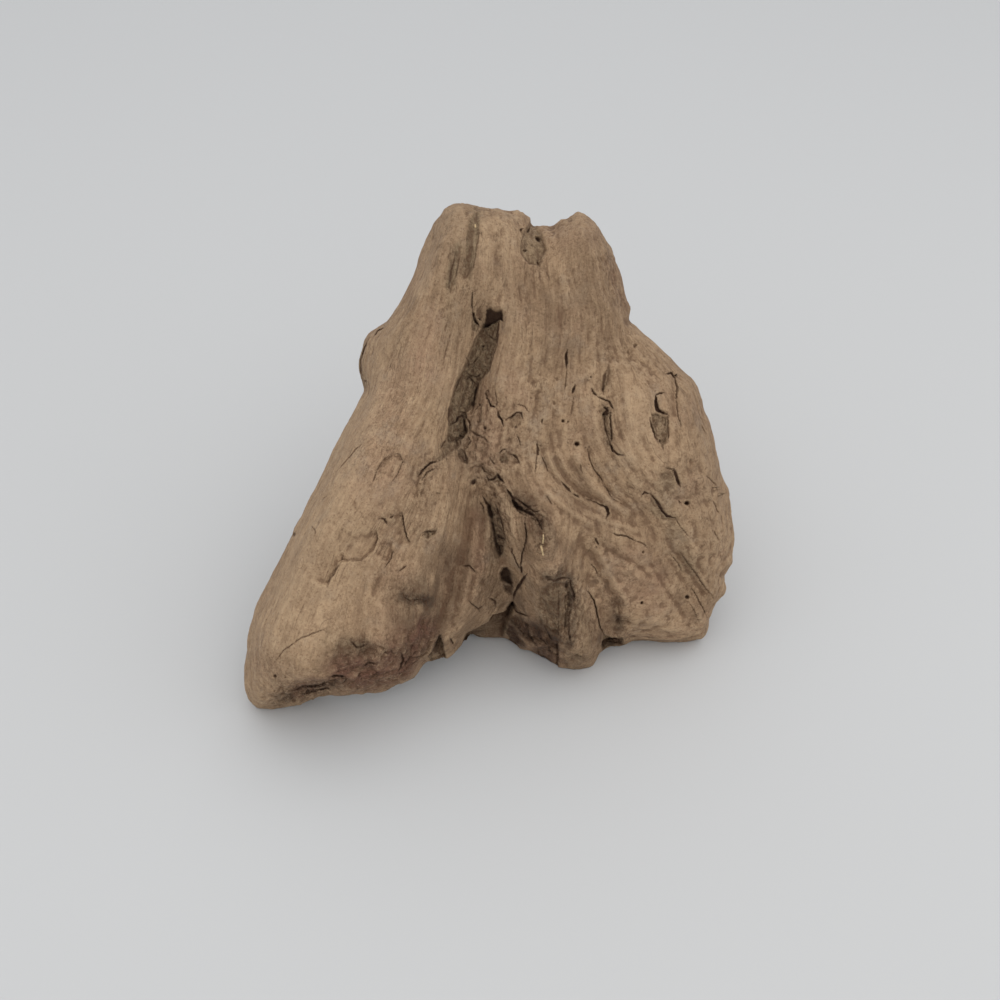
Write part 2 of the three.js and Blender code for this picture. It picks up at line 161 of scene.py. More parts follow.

# Splits: half-width and depth in millimetres, darkness of the shade painted in and along them, and the path.
SPLITS = {
    "slit beside the slot": (0.28, 1.8, 0.9, ((472.5, 292), (472.5, 301), (472, 312))),
    "slit's wide foot": (0.75, 3.2, 1.0, ((472, 311), (474, 318), (479, 325))),
    "slot's left lip": (0.4, 1.0, 0.45, ((484, 324), (476, 338), (467, 360), (457, 384), (450, 404))),
    "shadow down the slot's right wall": (0.65, 2.5, 0.95, ((499, 319), (498, 333), (497, 345))),
    "slot's right wall, lower": (0.4, 1.6, 0.7, ((497, 344), (493, 357), (490, 368), (490, 374))),
    "crack across the slot's floor": (0.4, 1.0, 0.8, ((489, 334), (493, 337), (497, 339))),
    "second crack across the floor": (0.4, 1.0, 0.8, ((472, 363), (476, 358), (479, 355))),
    "third crack across the floor": (0.4, 1.0, 0.7, ((466, 357), (468, 362), (468, 366))),
    "rubble across the floor": (0.5, 1.2, 0.85, ((465, 379), (469, 376), (473, 380), (478, 384))),
    "rubble above it": (0.5, 1.0, 0.8, ((465, 370), (470, 374), (476, 376), (482, 373))),
    "lower crack across the floor": (0.55, 1.6, 1.0, (
        (449, 424), (455, 421), (458, 416), (461, 415), (464, 419))),
    "shadow at the slot's lower right wall": (0.7, 2.4, 1.0, ((477, 384), (475, 394), (473, 410))),
    "foot of the slot's right wall": (0.7, 2.6, 1.0, ((464, 418), (465, 427), (467, 433))),
    "slot foot's echo": (0.42, 1.4, 0.8, ((459, 411), (465, 412), (467, 418), (470, 425), (469, 431))),
    "foot of the slot's left wall": (0.6, 1.4, 0.8, ((450, 405), (448, 418), (450, 424))),
    "slot's last bend": (0.5, 1.2, 0.7, ((446, 440), (443, 444), (441, 448))),
    "pitted end of the slot": (0.4, 1.2, 0.8, ((459, 435), (464, 437))),
    "slot end's left mark": (0.35, 1.0, 0.6, ((460, 439), (461, 445))),
    "slot end's right mark": (0.4, 1.2, 0.7, ((468, 436), (471, 441), (467, 446))),
    "eye's right edge": (0.5, 1.6, 0.9, ((464, 450), (467, 458), (467, 465))),
    "eye's left edge": (0.35, 1.0, 0.6, ((460, 449), (458, 455), (461, 461))),
    "rough bite left of the fork": (0.7, 2.2, 0.8, ((437, 462), (430, 463), (423, 470), (418, 476))),
    "bite's edge": (0.35, 1.2, 0.4, ((436, 468), (428, 472), (420, 482))),
    "hairline right of the slot": (0.38, 1.0, 0.9, ((470, 430), (477, 435), (484, 437), (489, 442))),
    "jagged crack, upper": (0.38, 1.6, 0.85, ((486, 392), (487, 398), (490, 403))),
    "jagged crack, middle": (0.5, 1.8, 0.95, ((489, 401), (491, 406), (496, 407))),
    "jagged crack's ring": (0.35, 0.8, 0.5, ((486, 397), (485, 392), (488, 390), (489, 394))),
    "jagged crack, lower": (0.55, 2.2, 1.0, ((497, 409), (498, 415), (502, 420), (503, 426))),
    "jagged crack's branch": (0.32, 0.9, 0.6, ((495, 391), (497, 400), (497, 407))),
    "arched crack": (0.45, 1.6, 0.95, ((508, 418), (512, 416), (517, 412), (521, 413), (523, 419))),
    "arch's echo": (0.3, 0.9, 0.35, ((516, 404), (524, 406), (529, 412))),
    "hooked hairline": (0.35, 1.0, 0.6, ((517, 435), (519, 439), (521, 447))),
    "curled crack, left": (0.4, 1.2, 0.7, ((499, 454), (503, 450), (507, 449))),
    "curled crack, right": (0.42, 1.3, 0.75, ((512, 454), (517, 457), (520, 464))),
    "splintered steps above the fork": (0.45, 1.6, 0.85, ((482, 466), (484, 471), (488, 473))),
    "splintered steps, middle": (0.5, 1.8, 0.85, ((486, 476), (488, 480), (494, 479), (497, 474))),
    "splintered steps, right": (0.75, 2.4, 1.0, ((497, 473), (500, 478), (504, 483))),
    "nick above the fork": (0.42, 1.2, 0.75, ((489, 456), (492, 462), (496, 465))),
    "high slit": (0.6, 2.4, 1.0, ((567, 350), (566, 357), (567, 368))),
    "high slit's tail": (0.35, 0.9, 0.4, ((567, 368), (566, 380), (565, 391))),
    "short slit": (0.65, 2.4, 0.8, ((575, 385), (573, 393))),
    "short slit's tail": (0.3, 0.8, 0.25, ((574, 393), (573, 405), (571, 416))),
    "dash before the long split": (0.6, 2.0, 1.0, ((592, 389), (594, 393), (597, 396))),
    "long split, shaded top": (1.0, 1.8, 0.35, ((607, 370), (604, 379), (603, 393))),
    "long split, splintered middle": (0.5, 2.0, 0.9, ((597, 396), (603, 399), (609, 401), (614, 411))),
    "long split, knot": (0.8, 2.4, 0.9, ((603, 405), (608, 410), (604, 414), (611, 413))),
    "long split, dark lower part": (0.5, 2.8, 0.85, ((610, 411), (611, 422), (612, 434), (612, 443))),
    "long split, shaded side": (0.4, 1.4, 0.5, ((605, 413), (606, 426), (609, 440))),
    "long split's toe": (0.8, 2.0, 0.9, ((610, 442), (613, 450), (618, 454), (623, 455))),
    "bracket crack, upper": (0.4, 1.6, 0.8, ((664, 392), (659, 393), (656, 396))),
    "bracket crack": (0.9, 3.0, 1.0, ((656, 395), (656, 402), (658, 410), (667, 414))),
    "pocket's left wall": (0.6, 1.8, 0.7, ((650, 418), (653, 430), (659, 445))),
    "pocket's right wall": (0.35, 1.2, 0.7, ((668, 414), (669, 428), (668, 441))),
    "hooked slit": (0.38, 1.6, 0.6, ((675, 377), (677, 388), (677, 402))),
    "hooked slit's hook": (0.6, 2.0, 1.0, ((666, 374), (671, 373), (675, 378))),
    "hooked slit's tail": (0.3, 1.0, 0.3, ((677, 398), (678, 414), (682, 432))),
    "comma crack": (0.8, 2.4, 1.0, ((674, 469), (677, 477), (680, 487))),
    "comma's start": (0.4, 1.2, 0.6, ((666, 468), (671, 469), (675, 472))),
    "lip crack, start": (0.5, 1.4, 0.8, ((642, 495), (645, 492), (650, 494))),
    "lip crack": (0.8, 2.2, 1.0, ((650, 494), (656, 500), (661, 508), (667, 516), (675, 518))),
    "lip crack's tail": (0.3, 0.9, 0.4, ((675, 518), (680, 526), (690, 538))),
    "first furrow's head": (0.7, 1.6, 0.6, ((537, 441), (538, 449), (537, 457))),
    "first furrow crack": (0.3, 1.0, 0.45, ((537, 455), (536, 464), (535, 475))),
    "first furrow's branch": (0.35, 1.0, 0.45, ((541, 455), (545, 464), (549, 472))),
    "second furrow crack": (0.6, 1.8, 0.9, ((562, 482), (567, 488), (572, 492))),
    "second furrow crack, on": (0.5, 1.6, 0.9, ((573, 494), (579, 497))),
    "second furrow's run": (0.4, 1.2, 0.5, ((586, 499), (595, 502), (604, 507))),
    "curl at the furrow's end": (0.7, 2.2, 1.0, ((598, 504), (606, 507), (609, 513), (606, 518))),
    "third furrow crack": (0.4, 1.4, 0.65, ((588, 449), (590, 460), (595, 471), (605, 484))),
    "third furrow's run": (0.3, 1.0, 0.35, ((605, 484), (611, 497), (622, 504))),
    "short furrow mark": (0.3, 1.0, 0.45, ((546, 495), (552, 505))),
    "furrow's inner hairline": (0.35, 0.9, 0.5, ((580, 464), (582, 472))),
    "ripple crack": (0.42, 1.6, 0.75, ((610, 532), (618, 535), (627, 536), (635, 541))),
    "ripple's tail": (0.4, 1.0, 0.5, ((635, 541), (643, 543), (648, 548))),
    "dash below the curl": (0.55, 1.6, 0.8, ((595, 538), (599, 545))),
    "dash beside it": (0.35, 1.0, 0.45, ((590, 562), (595, 568), (598, 575))),
    "fork's black gap, start": (0.6, 3.0, 1.0, ((507, 489), (511, 495), (515, 501))),
    "fork's black gap": (1.3, 5.5, 1.0, ((512, 498), (518, 507), (525, 512))),
    "gap's first fibre": (0.35, 1.5, 0.85, ((518, 505), (523, 503), (528, 507), (532, 505))),
    "gap's second fibre": (0.35, 1.4, 0.85, ((525, 511), (530, 509), (535, 512), (541, 510))),
    "gap's third fibre": (0.32, 1.3, 0.8, ((532, 516), (537, 519), (543, 522))),
    "gap's fourth fibre": (0.32, 1.2, 0.75, ((537, 513), (543, 517), (542, 525))),
    "gap's fifth fibre": (0.35, 1.4, 0.8, ((514, 503), (518, 511), (524, 515))),
    "fork's gap, running out": (0.9, 3.0, 1.0, ((522, 510), (529, 513), (535, 516))),
    "fork's gap, last part": (0.5, 2.0, 0.9, ((535, 516), (540, 523), (543, 531))),
    "gap's upper splinter": (0.5, 1.8, 0.8, ((513, 496), (521, 502), (530, 508), (536, 514))),
    "left chasm, upper": (0.5, 2.0, 0.8, ((483, 496), (486, 502), (488, 505))),
    "left chasm": (1.2, 4.5, 1.0, ((488, 503), (490, 511), (492, 519))),
    "chasm's first fibre": (0.3, 1.2, 0.75, ((494, 508), (498, 516), (497, 523))),
    "chasm's second fibre": (0.3, 1.2, 0.75, ((498, 526), (503, 531), (505, 537))),
    "chasm's third fibre": (0.3, 1.2, 0.7, ((479, 500), (483, 507), (484, 515))),
    "chasm's fourth fibre": (0.35, 1.4, 0.8, ((497, 545), (503, 547), (503, 553), (498, 556))),
    "left chasm, left wall": (0.55, 3.0, 0.9, ((491, 517), (494, 531), (496, 545), (499, 554))),
    "left chasm, right wall": (0.5, 2.4, 0.85, ((496, 504), (499, 514), (503, 525), (504, 533))),
    "left chasm, splinters": (0.5, 1.6, 0.8, ((497, 534), (501, 538), (505, 539))),
    "left chasm, foot": (0.7, 2.6, 0.9, ((497, 543), (500, 550), (500, 557))),
    "knife crack": (0.36, 2.6, 0.95, (
        (526, 514), (525, 521), (526, 532), (526, 541), (523, 551), (521, 562), (521, 572))),
    "knife crack's end": (0.7, 2.4, 1.0, ((521, 565), (522, 573))),
    "knife crack's branch": (0.35, 1.6, 0.9, ((512, 551), (515, 559), (520, 569))),
    "branch's fork": (0.6, 1.4, 0.9, ((512, 547), (512, 553))),
    "stub's left seam": (0.75, 3.0, 1.0, ((527, 574), (520, 584), (515, 592), (513, 599))),
    "stub's curved seam": (0.45, 1.8, 0.9, ((513, 599), (513, 605), (516, 611), (522, 614), (530, 616))),
    "stub's worn hollow, upper rim": (0.6, 1.4, 0.8, (
        (545, 579), (551, 579), (555, 581), (563, 577), (569, 578))),
    "stub's worn hollow, right rim": (0.6, 1.8, 0.85, ((569, 578), (571, 586), (574, 595), (574, 603))),
    "stub's worn hollow, right rim's foot": (0.45, 1.2, 0.6, (
        (572, 604), (569, 618), (569, 632), (571, 645))),
    "stub's inner line": (0.3, 0.8, 0.35, ((559, 588), (559, 606), (559, 634))),
    "stub's second inner line": (0.3, 0.8, 0.35, ((565, 590), (566, 612), (564, 640))),
    "stub's chin line": (0.42, 1.4, 0.75, ((557, 640), (558, 652), (558, 664))),
    "seam between stub and fan": (0.38, 2.4, 0.7, (
        (585, 588), (594, 600), (597, 614), (601, 629), (605, 637))),
    "flange's curved crack": (0.42, 1.4, 0.9, ((463, 566), (469, 566), (476, 573))),
    "flange's low crack": (0.4, 1.2, 0.85, ((469, 601), (478, 609), (483, 605))),
    "flange's nick": (0.5, 1.4, 0.9, ((489, 598), (495, 601), (496, 606))),
    "flange's tip crack": (0.45, 1.2, 0.8, ((450, 638), (454, 645))),
    "limb's plucked crack": (0.5, 1.6, 0.9, ((380, 519), (384, 519), (387, 524))),
    "limb's plucked dot": (0.6, 1.4, 0.8, ((390, 518), (392, 516))),
    "limb's straight crack": (0.36, 1.4, 0.7, ((402, 513), (404, 526), (406, 536), (409, 541))),
    "limb's crease": (0.4, 1.2, 0.65, ((393, 550), (391, 558), (385, 567))),
    "limb's dash": (0.5, 1.0, 0.6, ((399, 571), (406, 566))),
    "limb's scar crack": (0.5, 1.0, 0.6, ((423, 533), (429, 531), (436, 531))),
    "oval scar, left": (0.25, 0.8, 0.4, ((372, 485), (376, 472), (382, 461), (390, 454))),
    "oval scar, right": (0.25, 0.8, 0.4, ((390, 454), (399, 454), (403, 461), (398, 474), (390, 483))),
    "limb's high groove": (0.35, 0.8, 0.3, ((337, 472), (344, 463), (355, 451), (363, 443))),
    "limb's small groove": (0.3, 0.6, 0.25, ((321, 502), (328, 495))),
    "limb's curved mark": (0.3, 0.7, 0.3, ((311, 525), (315, 530), (315, 535))),
    "limb's crease near the tip": (0.35, 0.8, 0.3, ((272, 665), (283, 651), (301, 638), (330, 627))),
    "limb's low fold": (0.8, 1.8, 0.9, ((330, 677), (337, 676), (344, 677))),
    "limb's big flake, edge": (0.3, 0.6, 0.45, (
        (376, 528), (377, 540), (373, 551), (362, 560), (351, 561), (346, 560))),
    "limb's big flake, dark end": (0.8, 1.2, 0.6, ((341, 563), (335, 570), (330, 579), (327, 587))),
    "limb's torn edge": (0.6, 1.6, 0.6, ((290, 692), (305, 686), (318, 687), (330, 682))),
    "limb's torn edge, on": (0.6, 1.6, 0.7, ((302, 694), (314, 692), (330, 690))),
    "limb's bruise": (0.5, 1.0, 0.35, ((402, 597), (410, 601), (418, 600), (428, 602))),
    "limb's low bruise": (0.6, 1.2, 0.6, ((350, 641), (357, 648), (366, 645))),
    "limb's red crack": (0.6, 1.4, 0.8, ((401, 652), (402, 662), (398, 672))),
    "limb's red crack, second": (0.6, 1.4, 0.7, ((362, 667), (368, 663), (377, 664))),
    "fan's long furrow": (0.35, 1.6, 0.45, ((680, 552), (690, 566), (700, 580), (714, 599))),
    "fan's inner furrow": (0.32, 1.2, 0.35, ((670, 553), (676, 561), (683, 572))),
    "fan's low furrow": (0.32, 1.2, 0.35, ((690, 585), (698, 598), (707, 616))),
    "fan's lowest furrow": (0.3, 1.0, 0.3, ((688, 601), (695, 612), (700, 624))),
    "fan's edge mark, high": (0.4, 0.8, 0.3, ((705, 474), (714, 484), (716, 493))),
    "fan's edge mark, middle": (0.4, 0.8, 0.3, ((711, 500), (719, 514))),
    "fan's edge mark, low": (0.4, 0.8, 0.3, ((713, 530), (719, 541))),
    "fan's edge mark, top": (0.35, 0.8, 0.25, ((701, 424), (707, 436))),
    "groove's right edge": (0.35, 0.6, 0.4, ((480, 228), (477, 246), (475, 258), (473, 270))),
    "groove's left branch": (0.35, 0.5, 0.6, ((456, 252), (452, 266), (449, 286))),
    "groove's left branch, echo": (0.3, 0.4, 0.5, ((460, 256), (457, 270), (455, 282))),
    "ear's split": (0.45, 1.4, 0.8, ((371, 338), (366, 347), (364, 358), (363, 379))),
    "ear's root": (0.45, 1.2, 0.7, ((384, 327), (378, 331), (374, 337))),
}

# Grooves and swells with soft sides: half-width and depth (below 0, height) in millimetres, and the path.
FOLDS = {
    "groove under the left peak": (2.0, 1.9, ((476, 215), (473, 228), (471, 243), (469, 259), (466, 276))),
    "groove's left branch": (1.8, 1.0, ((459, 250), (452, 266), (450, 288))),
    "rise above the slot's hood": (5.0, -1.2, ((486, 302), (502, 304))),
    "rise at the hood's edge": (3.2, -3.0, ((487, 309), (500, 309))),
    "band right of the groove": (2.6, 0.6, ((498, 238), (497, 256), (496, 274))),
    "furrow of the fan, first": (1.5, 1.6, ((541, 446), (545, 462), (556, 478), (572, 497), (586, 508))),
    "furrow of the fan, second": (1.9, 2.3, ((556, 460), (561, 472), (568, 481), (579, 491), (600, 502))),
    "furrow of the fan, third": (1.5, 1.8, ((590, 452), (594, 466), (601, 479), (611, 493), (628, 506))),
    "ridge of the fan, first": (1.4, -1.6, ((548, 455), (553, 468), (562, 480))),
    "ridge of the fan, second": (1.6, -2.0, ((548, 492), (560, 503), (575, 514), (590, 524))),
    "ridge of the fan, third": (1.8, -1.9, ((577, 455), (583, 472), (595, 489), (614, 505), (626, 512))),
    "ridge below the curl": (1.3, -1.3, ((586, 512), (602, 520), (618, 524), (636, 530))),
    "furrow below the ripple": (1.5, 1.2, ((604, 546), (618, 556), (634, 562), (650, 576))),
    "furrow beside the stub": (1.6, 1.3, ((584, 548), (596, 564), (606, 584), (614, 600))),
    "ridge beside the stub": (1.6, -1.3, ((594, 548), (606, 566), (616, 586), (626, 604))),
    "ridge under the lip crack": (1.8, -1.0, ((640, 498), (652, 508), (662, 520))),
    "slope beside the long split": (2.0, 1.6, ((603, 412), (606, 424), (607, 440))),
    "long split's upper hollow": (1.8, 1.2, ((610, 362), (609, 376), (605, 390))),
    "groove beside the hooked slit": (1.7, 1.7, ((673, 379), (674, 396), (675, 414))),
    "diagonal furrow of the fan": (2.0, 1.8, ((668, 540), (686, 566), (704, 592))),
    "diagonal ridge of the fan": (1.7, -1.5, ((676, 545), (694, 572), (710, 592))),
    "second diagonal ridge": (1.7, -1.4, ((662, 558), (680, 586), (696, 612))),
    "third diagonal furrow": (1.6, 1.3, ((652, 566), (668, 592), (684, 616))),
    "bay above the fan's foot": (3.0, 1.8, ((617, 606), (619, 618), (616, 630))),
    "stub's crown": (4.5, -1.4, ((548, 552), (562, 556), (574, 562))),
    "stub's left lobe": (3.4, -1.8, ((522, 590), (524, 602), (532, 610))),
    "stub's right column": (2.6, -1.6, ((584, 590), (582, 612), (584, 636))),
    "flange's first flute": (1.5, 1.3, ((470, 520), (464, 552), (459, 590), (452, 625))),
    "flange's second flute": (1.4, 1.4, ((484, 512), (482, 540), (476, 572), (468, 600))),
    "flange's rib": (1.5, -1.3, ((478, 520), (472, 552), (467, 590), (460, 632))),
    "flange's outer rib": (1.6, -1.4, ((496, 560), (490, 584), (482, 604))),
    "valley beside the limb": (2.6, 1.7, (
        (468, 512), (463, 540), (454, 566), (446, 590), (441, 612), (439, 634))),
    "limb's rib beside the valley": (3.0, -1.2, ((448, 540), (438, 566), (428, 590), (424, 612))),
    "flange's lip": (1.4, -1.2, ((514, 590), (510, 600), (500, 610), (489, 618))),
    "fork's grey wall": (3.0, -2.6, ((505, 500), (511, 520), (515, 545), (513, 562))),
    "left chasm's bed": (2.2, 2.2, ((488, 504), (494, 522), (499, 540), (499, 556))),
    "limb's long fold": (3.4, 0.9, ((417, 476), (414, 510), (396, 552), (372, 590))),
    "limb's brow above the fork": (4.0, -1.6, ((452, 520), (436, 545), (420, 572))),
    "limb's low dent": (4.0, 2.2, ((345, 650), (358, 652), (368, 650))),
    "limb's crumbled rim": (2.6, -1.6, ((372, 640), (396, 646), (414, 636))),
    "limb's crumbled hollow": (3.4, 1.8, ((346, 664), (368, 670), (390, 666))),
    "limb's red hollow": (3.0, 2.4, ((406, 648), (406, 662), (402, 676))),
    "limb's torn underlip": (2.2, 1.3, ((292, 694), (312, 688), (334, 683), (352, 681))),
    "ripple across the neck": (3.4, 0.6, ((500, 262), (503, 284), (507, 300))),
    "right peak's dent": (3.4, 1.0, ((596, 262), (606, 282), (616, 300))),
    "right shoulder's ripple": (2.4, 0.8, ((604, 290), (612, 302), (624, 308))),
    "shoulder's rough ledge": (2.4, 0.8, ((618, 352), (630, 358), (642, 364))),
    "neck's soft rib": (3.0, -0.7, ((552, 300), (554, 330), (552, 360))),
    "neck's soft valley": (2.6, 0.6, ((524, 300), (528, 340), (530, 380))),
}

# Flakes: how far the wood has sunk and how far that reaches, in millimetres, and the edge. The wood to the
# right of the edge, going along it, has gone.
FLAKES = {
    "limb's big flake": (2.3, 12, ((376, 528), (378, 540), (373, 551), (362, 560), (351, 561), (340, 564))),
    "limb's big flake, deep end": (2.8, 7, ((346, 561), (339, 563), (333, 572), (327, 587))),
    "limb's second flake": (1.6, 8, ((393, 540), (392, 553), (387, 563))),
    "limb's third flake": (1.4, 6, ((403, 512), (404, 526), (407, 536), (411, 543))),
    "crumbled end, first ledge": (1.3, 5, ((326, 678), (334, 675), (344, 675), (350, 679))),
    "crumbled end, second ledge": (1.2, 5, ((352, 672), (362, 667), (374, 668), (380, 674))),
    "crumbled end, third ledge": (1.4, 5, ((384, 660), (392, 652), (400, 652), (404, 660), (400, 670))),
    "crumbled end, fourth ledge": (1.2, 5, ((360, 686), (372, 681), (386, 680), (394, 674))),
    "crumbled end, fifth ledge": (1.1, 4, ((366, 648), (374, 644), (384, 646), (388, 654))),
    "flake left of the bite": (1.3, 6, ((440, 462), (430, 464), (422, 472), (418, 486), (419, 500))),
    "flake at the slot's foot": (1.3, 5, ((470, 428), (478, 434), (486, 438), (491, 446), (492, 458))),
    "flake above the fork": (1.5, 5, ((478, 462), (486, 468), (496, 472), (503, 482))),
    "oval scar": (1.1, 9, ((376, 474), (382, 461), (390, 454), (400, 455), (403, 463))),
    "flake under the arched crack": (1.8, 5, ((504, 420), (513, 413), (522, 413))),
    "flake under the curl": (1.6, 5, ((498, 457), (507, 450), (517, 455), (521, 464))),
    "flake beside the jagged crack": (1.4, 5, ((503, 424), (497, 411), (487, 402), (485, 392))),
    "shelf right of the fork": (2.2, 10, ((507, 491), (514, 500), (526, 511), (540, 523))),
}

# Sunken patches: depth and softness of the edge in millimetres, how dark the painted shade on the floor is,
# how mossy and how rough, and the outline.
PATCHES = {
    "slot": (4.4, 1.0, 0.0, 0.8, 1.0, (
        (483, 322), (499, 318), (498, 341), (493, 356), (490, 370), (481, 382), (477, 392), (475, 405),
        (467, 412), (466, 424), (467, 433), (463, 439), (456, 441), (447, 442), (446, 436), (448, 423),
        (450, 401), (456, 380), (467, 360), (474, 343))),
    "slot's tail": (1.4, 1.2, 0.0, 0.5, 0.6, (
        (446, 438), (458, 440), (461, 446), (453, 452), (446, 457), (440, 463), (437, 459), (441, 450))),
    "eye under the slot": (1.8, 0.7, 0.4, 0.3, 0.9, (
        (460, 448), (464, 449), (467, 457), (467, 464), (463, 463), (458, 456))),
    "slot's dark hood": (5.0, 0.7, 0.93, 0.0, 0.5, (
        (486, 310), (491, 308), (496, 312), (501, 310), (503.5, 315), (503, 321), (499, 320), (493, 322),
        (488, 325), (483, 327), (485, 321), (486, 315))),
    "nick beside the slit": (1.6, 0.8, 0.15, 0.6, 0.4, (
        (471, 318), (475, 317), (480, 326), (477, 333), (471, 330))),
    "pit under the notch": (2.6, 0.8, 0.12, 0.6, 0.3, (
        (532, 218), (524, 230), (520, 240), (520, 254), (525, 260), (529, 264), (540, 267), (543, 257),
        (547, 250), (545, 242), (541, 236), (535, 227))),
    "groove under the left peak": (0.5, 0.6, 0.1, 0.85, 0.2, (
        (473, 213), (480, 213), (480, 228), (477, 247), (474, 267), (467, 278), (464, 262), (466, 240),
        (468, 224))),
    "pocket": (2.0, 1.0, 0.03, 0.55, 0.9, (
        (650, 413), (658, 413), (668, 416), (669, 428), (667, 443), (663, 450), (656, 436))),
    "bed of the lip crack": (1.5, 1.2, 0.0, 0.6, 0.3, (
        (650, 496), (658, 504), (666, 516), (675, 520), (660, 522), (650, 512))),
    "bed of the comma": (1.2, 1.4, 0.0, 0.6, 0.2, (
        (660, 472), (674, 470), (679, 487), (668, 494), (658, 486))),
    "hollow under the arched crack": (0.9, 0.8, 0.15, 0.2, 0.4, (
        (508, 418), (515, 414), (522, 415), (522, 426), (511, 428))),
    "hollow at the curl": (1.0, 0.8, 0.3, 0.7, 0.7, ((499, 457), (507, 453), (508, 464), (500, 463))),
    "stub's worn hollow": (2.8, 1.6, 0.0, 0.4, 0.7, (
        (541, 588), (552, 581), (568, 582), (572, 596), (570, 612), (568, 628), (556, 636), (540, 626),
        (536, 606))),
    "stub's undercut": (6.0, 2.6, 0.22, 0.0, 0.9, (
        (506, 614), (519, 616), (532, 622), (545, 627), (558, 641), (558, 648), (544, 645), (530, 644),
        (518, 634))),
    "stub's left facet": (2.6, 1.0, 0.0, 0.0, 0.3, (
        (536, 648), (559, 644), (559, 668), (548, 664), (538, 655))),
    # Painted shade in a deep hole.
    "dark shaded hole under the flange": (4.0, 1.8, 0.55, 0.0, 1.0, (
        (506, 622), (514, 626), (521, 634), (523, 643), (516, 648), (508, 642), (505, 634))),
    "hollow left of the long split": (1.1, 0.8, 0.12, 0.3, 0.5, (
        (602, 412), (609, 414), (611, 430), (612, 447), (607, 446), (605, 430))),
    "dip above the long split": (1.0, 1.0, 0.1, 0.5, 0.3, (
        (608, 362), (612, 370), (608, 384), (604, 394), (602, 388), (606, 376))),
    "red facet of the limb": (1.6, 1.2, 0.0, 0.0, 0.6, (
        (408, 646), (424, 634), (434, 640), (428, 655), (412, 668), (403, 672))),
    "hole of the fork": (8.0, 1.2, 0.6, 0.0, 0.9, (
        (499, 574), (502, 568), (508, 567), (511, 573), (513, 582), (512, 587), (505, 582), (500, 580))),
    "hole's grey foot": (3.0, 1.2, 0.45, 0.2, 0.6, ((503, 583), (513, 586), (513, 596), (505, 592))),
    "left chasm's floor": (2.0, 1.4, 0.12, 0.4, 1.0, (
        (486, 500), (493, 503), (503, 524), (506, 540), (502, 557), (496, 553), (492, 530))),
    "rough bed right of the gap": (1.6, 1.4, 0.05, 0.0, 1.0, (
        (524, 504), (536, 509), (546, 524), (544, 532), (534, 522), (527, 516))),
    "knot scar of the limb": (1.2, 0.8, 0.15, 0.5, 0.9, (
        (421, 536), (426, 530), (437, 529), (436, 534), (428, 538))),
    "limb's bruise": (1.0, 1.4, 0.1, 0.4, 1.0, (
        (400, 594), (416, 594), (431, 597), (430, 605), (412, 606), (402, 601))),
}

# Pits and holes: place, half-sizes in pixels, turn in degrees, depth in millimetres and darkness of the
# painted shade in them.
PITS = {
    "pit's upper hole": ((528.5, 229.5), (1.6, 3.6), 28, 2.0, 0.8),
    "pit's right hole": ((538, 239.5), (4.2, 1.8), 38, 2.6, 0.9),
    "pit's left hole": ((525, 249.6), (2.8, 1.2), -8, 1.6, 0.8),
    "pit's middle hole": ((532, 244), (1.8, 1.1), 60, 1.2, 0.5),
    "pit's low slit": ((538, 262.5), (1.3, 2.6), -8, 1.2, 0.6),
    "dot on the slot's floor": ((483, 345), (2.4, 1.4), 0, 1.0, 0.8),
    "dot right of the slot": ((485, 428), (2.2, 2.2), 0, 1.4, 0.7),
    "dot below the arch": ((516, 427), (1.8, 1.8), 0, 1.0, 0.6),
    "bite beside the fork": ((473.4, 482.0), (4.4, 3.2), -40, 2.0, 0.85),
    "dot by the slot": ((480, 405), (1.4, 1.4), 0, 1.0, 0.6),
    "dent by the slot": ((478, 422), (2.6, 2.0), 20, 1.0, 0.35),
    "dash in the grain": ((542, 421), (1.2, 4.0), 0, 1.2, 0.7),
    "dent in the grain": ((554, 403), (2.6, 2.6), 0, 0.9, 0.35),
    "faint dent": ((557, 379), (2.4, 3.2), 0, 0.7, 0.25),
    "exit hole, first": ((563, 421), (1.9, 1.9), 0, 2.6, 1.0),
    "exit hole, second": ((568, 422), (1.4, 1.4), 0, 1.6, 0.6),
    "exit hole, third": ((577, 444), (3.4, 2.8), 10, 3.4, 1.0),
    "exit hole, fourth": ((591, 377), (1.5, 1.5), 0, 1.4, 0.7),
    "exit hole, fifth": ((687, 503), (3.4, 2.4), 5, 3.4, 1.0),
    "exit hole, sixth": ((687, 597), (2.8, 2.8), 0, 3.2, 0.9),
    "exit hole, seventh": ((642, 603), (1.8, 2.0), 0, 2.4, 0.9),
    "pocket's dark spot": ((653.5, 431), (1.6, 4.0), -22, 0.8, 0.6),
    "pocket's low spot": ((660, 441), (2.2, 2.6), 0, 0.8, 0.7),
    "exit hole, eighth": ((643, 552), (1.5, 1.3), 0, 1.4, 0.7),
    "exit hole near the tip": ((275, 676), (2.2, 2.0), 0, 1.8, 0.9),
    "dot near the tip": ((285, 677), (1.4, 1.3), 0, 1.0, 0.6),
    "dent near the tip": ((274, 691), (2.2, 1.6), 0, 1.0, 0.4),
    "shoulder's nick": ((635, 346), (2.2, 3.0), 30, 1.6, 0.5),
    "shoulder's second nick": ((628, 352), (1.6, 1.6), 0, 0.8, 0.4),
    "limb's dent": ((355, 505), (3.0, 7.0), -12, 0.7, 0.25),
    "fan's shaded dent": ((641, 583), (5, 5), 20, 0.8, 0.2),
    "fan's rough dent": ((619, 617), (3.0, 8.0), 10, 1.4, 0.4),
    "shallow dent near the edge": ((691, 462), (3.4, 3.4), 0, 0.7, 0.2),
    "stub's foot dent": ((577, 655), (2.2, 1.6), 0, 0.8, 0.5),
    "dot on the limb": ((438, 493), (3.0, 1.2), 0, 0.9, 0.5),
    "nick on the limb's outline": ((294, 535), (2.2, 3.4), 30, 1.6, 0.6),
}

